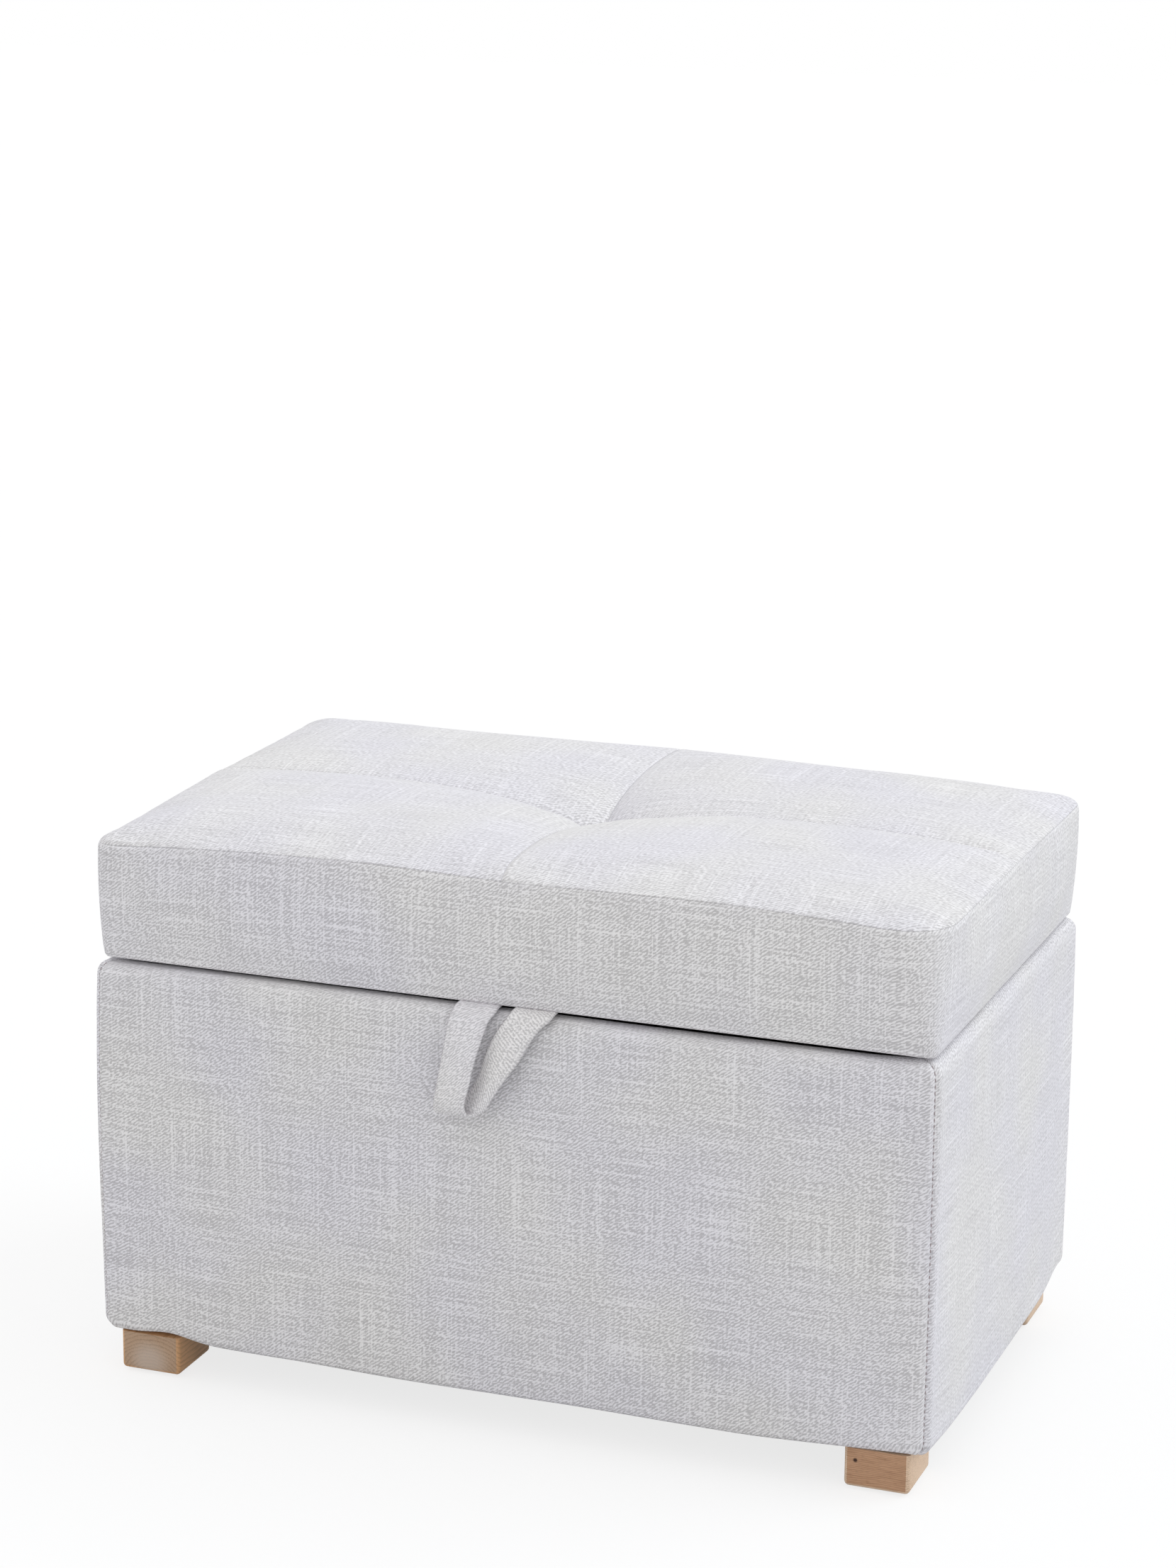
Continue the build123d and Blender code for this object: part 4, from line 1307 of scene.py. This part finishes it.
    def sew_sides(self, sides: ndarray) -> ndarray:
        """Draw the border in at its seam and let it lie slightly uneven."""
        drop = sides[0, :, 2] - sides[..., 2]
        upright = smooth_step(sides[..., 2] - self.base, 2.0 * MM, 14.0 * MM)
        seam = -self.seam_depth * hill(drop, 0.0, self.seam_width)
        seam += 0.3 * MM * hill(drop, 3.5 * MM, 2.6 * MM)
        broad = 0.7 * MM * wander(sides, 0.09, 31.0) * smooth_step(drop, 0.0, 12.0 * MM)
        pucker = 0.35 * MM * wander(sides, 0.016, 33.0) * np.exp(-drop / (10.0 * MM))
        bulge = (seam + broad + pucker * smooth_step(drop, 0.0, 2.0 * MM)) * upright
        return sides - normals_of(ringed(sides))[:, :-1] * bulge[..., None]

    def finish_cloth(self, top: ndarray, sides: ndarray) -> None:
        """Sew the seams into the puffed shape and make the cushion's mesh.

        Args:
            top: Fine points of the top.
            sides: Fine points of the border and the turned-under edge.
        """
        sewn = self.sew_top(top)
        sides = self.sew_sides(sides)
        sides[0] = self.rim_of(sewn)
        border = ringed(sides)
        border_weave = weave_map(travelled(border[0]), 0.2 - travelled(sides))
        flat = top[..., :2]
        under = np.stack([border[-1] * np.array([1e-4, 1e-4, 1.0]), border[-1]])
        grids = [
            ClothGrid(sewn, flat + np.where(flat > 0, (0.31, 0.17), 0.0)),
            ClothGrid(border[::-1], border_weave[::-1]),
            ClothGrid(under, under[..., :2]),
        ]
        cushion = cloth_mesh("lid_cushion", grids)
        mark_relief_by_light(cushion)
        settle(cushion, self.finishes.linen, "linen", "lid", "lid_top_panels", "lid_border", "lid_foam")


# Pull loop


@dataclass
class PullLoop:
    """One linen band whose ends are stapled under the lid: down at the front, round a fold and up behind."""

    finishes: Finishes
    thickness: float = 2.0 * MM
    half_width: float = 15.3 * MM
    steps: int = 190

    @staticmethod
    def stations() -> ndarray:
        """Left edge, middle and right edge of the band from one stapled end to the other, in metres."""
        rows = [
            (-32.0, -158.0, 303.0, -16.8, -158.0, 303.0, -1.5, -158.0, 303.0),
            (-32.0, -172.0, 303.0, -16.8, -172.0, 303.0, -1.5, -172.0, 303.0),
            (-32.0, -181.5, 302.9, -16.8, -181.5, 302.9, -1.5, -181.5, 302.9),
            (-32.3, -187.6, 300.9, -17.0, -187.9, 301.1, -1.6, -187.8, 301.1),
            (-34.0, -191.2, 294.6, -19.5, -192.2, 295.4, -4.9, -192.4, 296.0),
            (-35.4, -195.0, 279.8, -21.8, -197.0, 281.2, -8.2, -198.0, 282.6),
            (-37.6, -197.0, 263.7, -24.6, -200.0, 265.7, -11.6, -202.0, 267.6),
            (-40.1, -198.0, 248.1, -27.0, -202.0, 250.4, -14.0, -204.6, 252.6),
            (-42.3, -197.2, 236.2, -29.4, -202.1, 238.4, -16.6, -205.6, 240.6),
            (-43.0, -193.2, 229.6, -29.2, -198.2, 231.2, -15.2, -202.2, 233.2),
            (-37.0, -189.6, 231.0, -20.0, -196.6, 232.0, -8.6, -200.0, 233.8),
            (-28.0, -188.4, 236.4, -11.5, -198.8, 236.8, -4.6, -199.0, 237.7),
            (-21.0, -187.9, 243.0, -7.2, -199.4, 243.4, -1.8, -198.6, 242.5),
            (-13.5, -187.8, 257.0, -1.0, -198.6, 257.2, 7.6, -197.0, 256.8),
            (-9.5, -187.8, 270.0, 3.4, -196.6, 270.6, 17.9, -194.0, 271.8),
            (-5.2, -187.8, 281.0, 9.4, -193.6, 283.0, 24.3, -191.4, 284.3),
            (0.4, -187.8, 290.8, 15.6, -191.0, 292.6, 30.4, -189.6, 293.6),
            (5.0, -187.8, 297.2, 20.2, -189.4, 298.2, 35.6, -188.6, 298.8),
            (7.6, -186.9, 301.4, 22.8, -187.2, 301.5, 38.0, -187.0, 301.6),
            (8.0, -181.5, 302.9, 23.2, -181.5, 302.9, 38.4, -181.5, 302.9),
            (8.0, -172.0, 303.0, 23.2, -172.0, 303.0, 38.4, -172.0, 303.0),
            (8.0, -158.0, 303.0, 23.2, -158.0, 303.0, 38.4, -158.0, 303.0),
        ]
        return np.array(rows).reshape(-1, 3, 3) * MM

    def build(self) -> None:
        """Make and dress the band, and hide the solids that it stands for."""
        stations = self.stations()
        places = np.linspace(0.0, len(stations) - 1.0, self.steps)
        left, middle, right = resample(stations, places).transpose(1, 0, 2)
        half = (right - left) / 2.0
        bend = (right + left) / 2.0 - middle
        along = np.gradient(middle, axis=0)
        run = travelled(middle)
        across = np.concatenate([np.linspace(-1.0, 1.0, 17), np.linspace(1.0, -1.0, 17)[1:-1]])
        lip = np.sqrt(1.0 - np.clip((np.abs(across) - 0.93) / 0.07, 0.0, 1.0) ** 2)
        ridge = 1.0 + 0.16 * hill(np.abs(across), 0.86, 0.05)
        sign = np.concatenate([np.ones(17), -np.ones(15)])
        rows = []
        for a, height in zip(across, sign * ridge * lip * self.thickness / 2.0):
            face = unit(np.cross(along, half + 2.0 * a * bend))
            rows.append(middle + half * a + bend * a * a + face * height)
        tube = ringed(np.array(rows).transpose(1, 0, 2))
        grids = [ClothGrid(tube, ringed(weave_map(-self.half_width * across, run)))]
        hubs = [np.broadcast_to(middle[k], tube[k].shape) for k in (0, -1)]
        for end in (np.stack([hubs[0], tube[0]]), np.stack([tube[-1], hubs[1]])):
            grids.append(ClothGrid(end, end[..., :2]))
        band = cloth_mesh("pull_band", grids)
        with editing(band.data) as work:
            bmesh.ops.recalc_face_normals(work, faces=work.faces)
        band.data.shade_smooth()
        mark_relief_by_light(band, 0.2)
        dress(band, self.finishes.band)
        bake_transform(band)
        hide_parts("pull_loop", "pull_loop_tails")
        LOG.info("%s: %d faces, %.0f mm long", band.name, len(band.data.polygons), run[-1] / MM)


# Linings


@dataclass
class Linings:
    """The bag in the box, the cloth under the lid and the dust cover under the box."""

    finishes: Finishes
    cell: float = 6.0 * MM
    thickness: float = 0.6 * MM
    hem: float = 8.0 * MM
    sag: float = 0.25 * MM
    bag_pitch: float = 7.0 * MM
    bag_radius: float = 6.0 * MM
    corner_cut: float = 18.5 * MM

    def stapled(self, node: str, name: str, material: Material, slot: str, body: str) -> None:
        """Make a sheet that faces down, stapled along its edges, with slight waves.

        Args:
            node: Solid that the sheet stands for.
            name: Name of the new piece.
            material: Its finish.
            slot: Name of a material slot, handed on to settle.
            body: Body that carries it.
        """
        low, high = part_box(node)
        xs, ys = (np.linspace(low[k], high[k], int((high[k] - low[k]) / self.cell)) for k in range(2))
        flat = np.stack(np.meshgrid(xs, ys), axis=-1)
        edge = np.minimum(flat - np.array(low[:2]), np.array(high[:2]) - flat).min(axis=-1)
        free = smooth_step(edge, 0.0, 3.0 * self.hem)
        wave = self.sag * free * (0.5 + 0.5 * wander(raised(flat, 0.0), 0.06, 41.0))
        sheet = cloth_mesh(name, [ClothGrid(raised(flat, low.z + 0.1 * MM - wave), flat)], flip=True)
        thicken(sheet, self.thickness)
        settle(sheet, material, slot, body, node)

    def bag_outline(self) -> ndarray:
        """Evenly spaced points round the bag in plan, cut off where the corner posts stand."""
        low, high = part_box("storage_lining")
        cut = self.corner_cut
        (left, front), (right, back) = low[:2], high[:2]
        corners = [(right - cut, front), (right, front + cut), (right, back - cut), (right - cut, back)]
        corners += [(left + cut, back), (left, back - cut), (left, front + cut), (left + cut, front)]
        corners = np.array(corners)
        points = []
        for start, stop in zip(corners, np.roll(corners, -1, axis=0)):
            count = max(2, int(round(np.linalg.norm(stop - start) / self.bag_pitch)))
            points += [start + (stop - start) * k / count for k in range(count)]
        return np.array(points)

    def bag_seam(self) -> RowPath:
        """The seam just below the bag's upper edge."""
        _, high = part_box("storage_lining")
        outline = self.bag_outline()
        along = np.roll(outline, -1, axis=0) - np.roll(outline, 1, axis=0)
        inward = unit(np.stack([-along[:, 1], along[:, 0]], axis=-1))
        points, out = raised(outline + 0.55 * MM * inward, high.z - 4.0 * MM), raised(inward, 0.0)
        return RowPath(np.concatenate([points, points[:1]]), np.concatenate([out, out[:1]]))

    def bag_grid(self) -> ClothGrid:
        """Points and weave places of the bag, from its edge on the rim down to the middle of its floor."""
        low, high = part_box("storage_lining")
        outline = self.bag_outline()
        core = outline.mean(axis=0)
        inward = unit(core - outline)
        reach = np.array(high[:2])
        in_cut = np.all(np.abs(outline) > reach - self.corner_cut + 0.1 * MM, axis=-1, keepdims=True)
        walls = [(np.where(in_cut, np.sign(outline) * reach, outline), high.z - 0.4 * MM, high.z)]
        for z in np.linspace(high.z - 0.2 * MM, low.z + self.bag_radius, 32):
            walls.append((outline, z, z))
        for angle in np.radians([25.0, 50.0, 75.0, 90.0]):
            z = low.z + self.bag_radius * (1.0 - math.sin(angle)) + 0.4 * MM
            walls.append((outline + inward * self.bag_radius * (1.0 - math.cos(angle)), z, z))
        rows = [raised(flat, z) for flat, z, _ in walls]
        weave = list(weave_map(travelled(outline), np.array([place_down for _, _, place_down in walls])))
        foot = rows[-1]
        for share in np.linspace(1.0, 0.0, 26)[1:]:
            weave.append(core + (foot[:, :2] - core) * max(share, 1e-4))
            rows.append(raised(weave[-1], foot[:, 2]))
        points = np.array(rows)
        level = np.abs(normals_of(points)[..., 2:]) >= 0.7
        toward = np.where(level, np.array([0.0, 0.0, 1.0]), raised(inward, 0.0))
        crease = 1.3 * MM * (0.5 + 0.5 * wander(points, 0.05, 51.0))
        crease += 0.6 * MM * (0.5 + 0.5 * wander(points, 0.018, 53.0))
        inset = 0.3 * MM + crease * smooth_step(high.z - points[..., 2], 0.0, 25.0 * MM)
        return ClothGrid(ringed(points + toward * inset[..., None]), ringed(np.array(weave)))

    def build(self) -> None:
        """Make, dress and settle the linings."""
        bag = cloth_mesh("lining_bag", [self.bag_grid()])
        settle(bag, self.finishes.lining, "lining", "box", "storage_lining")
        cotton, black = self.finishes.lining, self.finishes.dust_cloth
        self.stapled("lid_lining", "lid_lining_cloth", cotton, "lining", "lid")
        self.stapled("dust_cover", "dust_cloth", black, "black_cloth", "box")


# Feet


@dataclass
class Feet:
    """Four wooden block feet with eased edges."""

    finishes: Finishes
    radius: float = 3.4 * MM

    @staticmethod
    def finish_of(name: str) -> WoodFinish:
        """The wood of one foot, cut from its own place in the plank."""
        low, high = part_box(name)
        x, y = (low.x + high.x) / 2.0, (low.y + high.y) / 2.0
        if name == "foot_front_left":
            return WoodFinish(
                name + "_wood",
                early=(0.74, 0.43, 0.22),
                late=(0.42, 0.223, 0.104),
                pith=(x - 2.0 * MM, y, low.z - 6.0 * MM),
                axis=GrainAxis.ALONG_DEPTH,
                ring_pitch=0.0026,
                ends_and_shade_tint=(0.72, 0.847, 1.113),
                heart=(x - 1.0 * MM, low.y, low.z + 8.0 * MM),
            )
        # Darker, redder front and back faces: painted shade, as on these feet those faces are long grain.
        red = (0.69, 0.545, 0.455)
        if name == "foot_front_right":
            return WoodFinish(
                name + "_wood",
                early=(0.85, 0.635, 0.46),
                late=(0.44, 0.285, 0.175),
                pith=(x, y + 0.02, -0.24),
                ring_pitch=0.0013,
                knot=(low.x + 8.0 * MM, low.y, high.z - 8.5 * MM),
                ends_and_shade_tint=red,
            )
        pale, dark = (0.78, 0.59, 0.43), (0.56, 0.39, 0.265)
        return WoodFinish(name + "_wood", pale, dark, (x, y - 0.03, 0.11), ends_and_shade_tint=red)

    def block(self, name: str) -> Object:
        """One foot, with every edge but the upper ones rounded and its front and back faces marked for a
        tint: partly end grain, partly painted shade.
        """
        low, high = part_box(name)
        mesh = bpy.data.meshes.new(name + "_block")
        with editing(mesh) as work:
            bmesh.ops.create_cube(work, size=1.0)
            for v in work.verts:
                v.co = Vector([low[k] if v.co[k] < 0 else high[k] for k in range(3)])
            eased = [e for e in work.edges if any(abs(v.co.z - low.z) < 1e-6 for v in e.verts)]
            bmesh.ops.bevel(work, geom=eased, offset=self.radius, segments=5, profile=0.5, affect="EDGES")
            bmesh.ops.recalc_face_normals(work, faces=work.faces)
        mesh.shade_smooth()
        mesh.set_sharp_from_angle(angle=math.radians(35.0))
        # Marks the front and back faces for the tint of end grain and painted shade.
        ends = mesh.attributes.new("grain_end_and_shade", "FLOAT", "FACE")
        ends.data.foreach_set("value", [float(abs(face.normal.y) > 0.9) for face in mesh.polygons])
        return place(name + "_block", mesh)

    def build(self) -> None:
        """Make, dress and settle the feet."""
        for name in ("foot_front_left", "foot_front_right", "foot_back_left", "foot_back_right"):
            block = self.block(name)
            settle(block, self.finish_of(name).build(self.finishes.grain), "foot_wood", "box", name)


# Fastenings


@dataclass
class Fastenings:
    """Seam thread, staples and hinge screws."""

    finishes: Finishes
    cover: BoxCover
    linings: Linings
    hinge_places: tuple[float, float] = (-190.0 * MM, 190.0 * MM)
    screw_line: float = 172.8 * MM
    tail_places: tuple[float, float] = (-16.8 * MM, 23.2 * MM)
    tail_line: float = -165.0 * MM
    tail_level: float = 301.95 * MM
    corner_gap: float = 20.0 * MM

    @staticmethod
    def line(start: Triple, stop: Triple, out: float) -> RowPath:
        """A straight path that faces up or down."""
        return RowPath(np.array([start, stop]), np.array([(0.0, 0.0, out)] * 2))

    def short_lines(
        self, places: tuple[float, ...], reach: float, y: float, z: float, out: float
    ) -> list[RowPath]:
        """Paths across the width.

        Args:
            places: Middle of each path.
            reach: Half the length of a path.
            y: Place across the depth.
            z: Height.
            out: 1 where the paths face up and -1 where they face down.

        Returns:
            One path for each place.
        """
        return [self.line((x - reach, y, z), (x + reach, y, z), out) for x in places]

    def hem_lines(self, node: str, inset: float) -> list[RowPath]:
        """The four lines of staples along a stapled sheet's edges."""
        low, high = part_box(node)
        x, y, z = high.x - inset, high.y - inset, low.z
        a, b = x - self.corner_gap, y - self.corner_gap
        along_x = [self.line((-a, k * y, z), (a, k * y, z), -1.0) for k in (-1.0, 1.0)]
        return along_x + [self.line((k * x, -b, z), (k * x, b, z), -1.0) for k in (-1.0, 1.0)]

    def stitches(self) -> None:
        """Sew the corner seams and the bag's upper edge."""
        rows, thread, twine = Rows(RowShape.STITCH), self.finishes.thread, self.finishes.twine
        size = RowSize(4.4 * MM, 2.4 * MM, 0.75 * MM, 0.6 * MM, 0.14)
        seams = rows.make("corner_seam_thread", self.cover.corner_seams(), size, thread)
        settle(seams, thread, "twine", "box")
        size = RowSize(4.0 * MM, 3.0 * MM, 0.7 * MM, 0.5 * MM, 0.05)
        edge = rows.make("lining_seam_thread", [self.linings.bag_seam()], size, twine)
        settle(edge, twine, "twine", "box")

    def staples(self) -> None:
        """Staple the dust cover, the lid's lining and the ends of the pull loop."""
        rows, zinc = Rows(RowShape.STAPLE), self.finishes.zinc
        size = RowSize(42.0 * MM, 10.0 * MM, 0.9 * MM, 0.5 * MM, 0.2)
        tails = self.short_lines(self.tail_places, 7.0 * MM, self.tail_line, self.tail_level, -1.0)
        for name, body, paths, pitch, seed in (
            ("dust_cover_staples", "box", self.hem_lines("dust_cover", 6.0 * MM), size.pitch, 3),
            ("lid_lining_staples", "lid", self.hem_lines("lid_lining", 5.0 * MM), size.pitch, 5),
            ("pull_band_staples", "lid", tails, 13.9 * MM, 7),
        ):
            settle(rows.make(name, paths, replace(size, pitch=pitch), zinc, seed), zinc, "zinc_steel", body)

    def screws(self) -> None:
        """Screw the hinge leaves down."""
        rows, nickel = Rows(RowShape.SCREW), self.finishes.nickel
        size = RowSize(19.9 * MM, 3.2 * MM, 5.4 * MM, 0.7 * MM, 1.2)
        for body, level, out in (("box", 302.0 * MM, 1.0), ("lid", 302.6 * MM, -1.0)):
            paths = self.short_lines(self.hinge_places, 20.0 * MM, self.screw_line, level, out)
            screws = rows.make(f"hinge_{body}_cross_screws", paths, size, nickel, 11)
            settle(screws, nickel, "nickel_steel", body, f"hinge_{body}_screws")

    def build(self) -> None:
        """Make every row."""
        self.stitches()
        self.staples()
        self.screws()


# Boards and hardware


@dataclass
class BottomBoard:
    """The bottom of the box, its lower edges planed off where the cloth turns under them."""

    finishes: Finishes
    ease_width: float = 10.0 * MM
    ease_height: float = 5.2 * MM

    def build(self) -> None:
        """Copy the solid, plane its four lower edges and settle it."""
        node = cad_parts["bottom_panel"]
        low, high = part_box("bottom_panel")
        mesh = bpy.data.meshes.new("bottom_board")
        with editing(mesh) as work:
            work.from_mesh(node.data)
            work.transform(node.matrix_world)
            bmesh.ops.remove_doubles(work, verts=work.verts, dist=1e-6)
            for axis, sign in ((0, -1.0), (0, 1.0), (1, -1.0), (1, 1.0)):
                spot = Vector((0.0, 0.0, low.z + self.ease_height))
                spot[axis] = sign * high[axis]
                out = Vector((0.0, 0.0, -self.ease_width))
                out[axis] = sign * self.ease_height
                whole = work.verts[:] + work.edges[:] + work.faces[:]
                cut = bmesh.ops.bisect_plane(work, geom=whole, plane_co=spot, plane_no=out, clear_outer=True)
                rim = [part for part in cut["geom_cut"] if isinstance(part, bmesh.types.BMEdge)]
                bmesh.ops.edgeloop_fill(work, edges=rim)
            bmesh.ops.recalc_face_normals(work, faces=work.faces)
        mesh.shade_flat()
        settle(place("bottom_board", mesh), self.finishes.board, "board", "box", "bottom_panel")


@dataclass
class Hardware:
    """Boards, hinges, bolts and other solids that stay as they are and get their finish."""

    finishes: Finishes

    def build(self) -> None:
        """Dress every solid that stays."""
        parts = ("box_leaf", "lid_leaf", "pin")
        hinges = [f"hinge_{part}_{end}" for part in parts for end in ("left", "right")]
        kept = {
            self.finishes.board: ["front_panel", "back_panel", "left_panel", "right_panel", "lid_board"],
            self.finishes.softwood: ["corner_posts"],
            self.finishes.zinc: ["foot_bolts", "tee_nuts", "tuft_washer"],
            self.finishes.nickel: hinges,
            self.finishes.nylon: ["foot_glides"],
            self.finishes.twine: ["tuft_twine"],
        }
        for material, names in kept.items():
            for name in names:
                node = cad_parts[name]
                node.data.materials.clear()
                node.data.materials.append(material)


# Floor, light and camera


@dataclass
class Studio:
    """Pale floor, soft light and the camera at the photograph's angle."""

    height_px: int = 2212
    focal_px: float = 5488.0
    azimuth: float = 20.51
    elevation: float = 14.51
    roll: float = 0.53
    distance: float = 4.6163 * 0.6
    shift_right: float = -0.0093 * 0.6
    shift_up: float = 0.3971 * 0.6
    aim_height: float = 0.4526 * 0.6 / 2.0
    body_bottom: float = 30.8 * MM
    world: float = 0.848
    sun: float = 0.9
    sun_from: Triple = (0.66, 0.34, 0.67)
    sun_angle: float = 40.0
    floor_glow: float = 0.78
    floor_reach: float = 12.0

    def camera(self) -> None:
        """Place the camera."""
        azimuth, elevation, roll = (math.radians(a) for a in (self.azimuth, self.elevation, self.roll))
        level = math.cos(elevation)
        back = Vector((math.sin(azimuth) * level, -math.cos(azimuth) * level, math.sin(elevation)))
        right = Vector((math.cos(azimuth), math.sin(azimuth), 0.0))
        up = back.cross(right)
        turned_right = right * math.cos(roll) + up * math.sin(roll)
        turned_up = up * math.cos(roll) - right * math.sin(roll)
        aim = Vector((0.0, 0.0, self.aim_height + self.body_bottom))
        spot = aim + back * self.distance + turned_right * self.shift_right + turned_up * self.shift_up
        data = bpy.data.cameras.new("camera")
        data.sensor_fit = "AUTO"
        data.sensor_width = 36.0
        data.lens = self.focal_px * data.sensor_width / self.height_px
        data.clip_end = 50.0
        camera = place("camera", data)
        axes = Matrix((turned_right, turned_up, back)).transposed().to_4x4()
        camera.matrix_world = Matrix.Translation(spot) @ axes
        bpy.context.scene.camera = camera

    def floor(self) -> None:
        """Lay the floor, white to the camera and paler than grey to the light."""
        mesh = bpy.data.meshes.new("floor")
        reach = self.floor_reach
        corners = [(-reach, -reach, 0.0), (reach, -reach, 0.0), (reach, reach, 0.0), (-reach, reach, 0.0)]
        mesh.from_pydata(corners, [], [(0, 1, 2, 3)])
        floor = place("floor", mesh)
        coat = Coat("pale_floor", {"Emission Color": WHITE, "Roughness": 1.0, "Specular IOR Level": 0.0})
        _, seen = coat.kit.seen()
        colour = coat.kit.mix(seen, (0.65, 0.65, 0.65), (1.0 - self.floor_glow,) * 3)
        glow = coat.kit.math("MULTIPLY", seen, self.floor_glow)
        coat.give({"Base Color": colour, "Emission Strength": glow})
        mesh.materials.append(coat.material)

    def light(self) -> None:
        """Light the bench softly from above and the right."""
        world = bpy.data.worlds.new("studio")
        bpy.context.scene.world = world
        world.use_nodes = True
        kit = Sockets(world.node_tree)
        rays, seen = kit.seen()
        seen = kit.math("MAXIMUM", seen, rays.outputs["Is Transmission Ray"])
        background = world.node_tree.nodes["Background"].inputs
        kit.feed(background["Color"], WHITE)
        kit.feed(background["Strength"], kit.math("MULTIPLY_ADD", seen, 1.0 - self.world, self.world))
        lamp = bpy.data.lights.new("softbox", "SUN")
        lamp.energy = self.sun
        lamp.angle = math.radians(self.sun_angle)
        lamp.color = (0.87, 0.94, 1.0)
        holder = place("softbox", lamp)
        holder.rotation_mode = "QUATERNION"
        holder.rotation_quaternion = Vector(self.sun_from).to_track_quat("Z", "Y")

    def build(self) -> None:
        """Set up the floor, the light and the camera."""
        bpy.context.scene.view_settings.view_transform = "Standard"
        self.camera()
        self.floor()
        self.light()


def main() -> None:
    """Build the bench piece by piece."""
    logging.basicConfig(level=logging.INFO, format="%(name)s: %(message)s")
    Studio().build()
    finishes = Finishes()
    cover = BoxCover(finishes)
    cover.build()
    LidCushion(finishes).build()
    PullLoop(finishes).build()
    linings = Linings(finishes)
    linings.build()
    Feet(finishes).build()
    Fastenings(finishes, cover, linings).build()
    BottomBoard(finishes).build()
    Hardware(finishes).build()


if __name__ == "__main__":
    main()
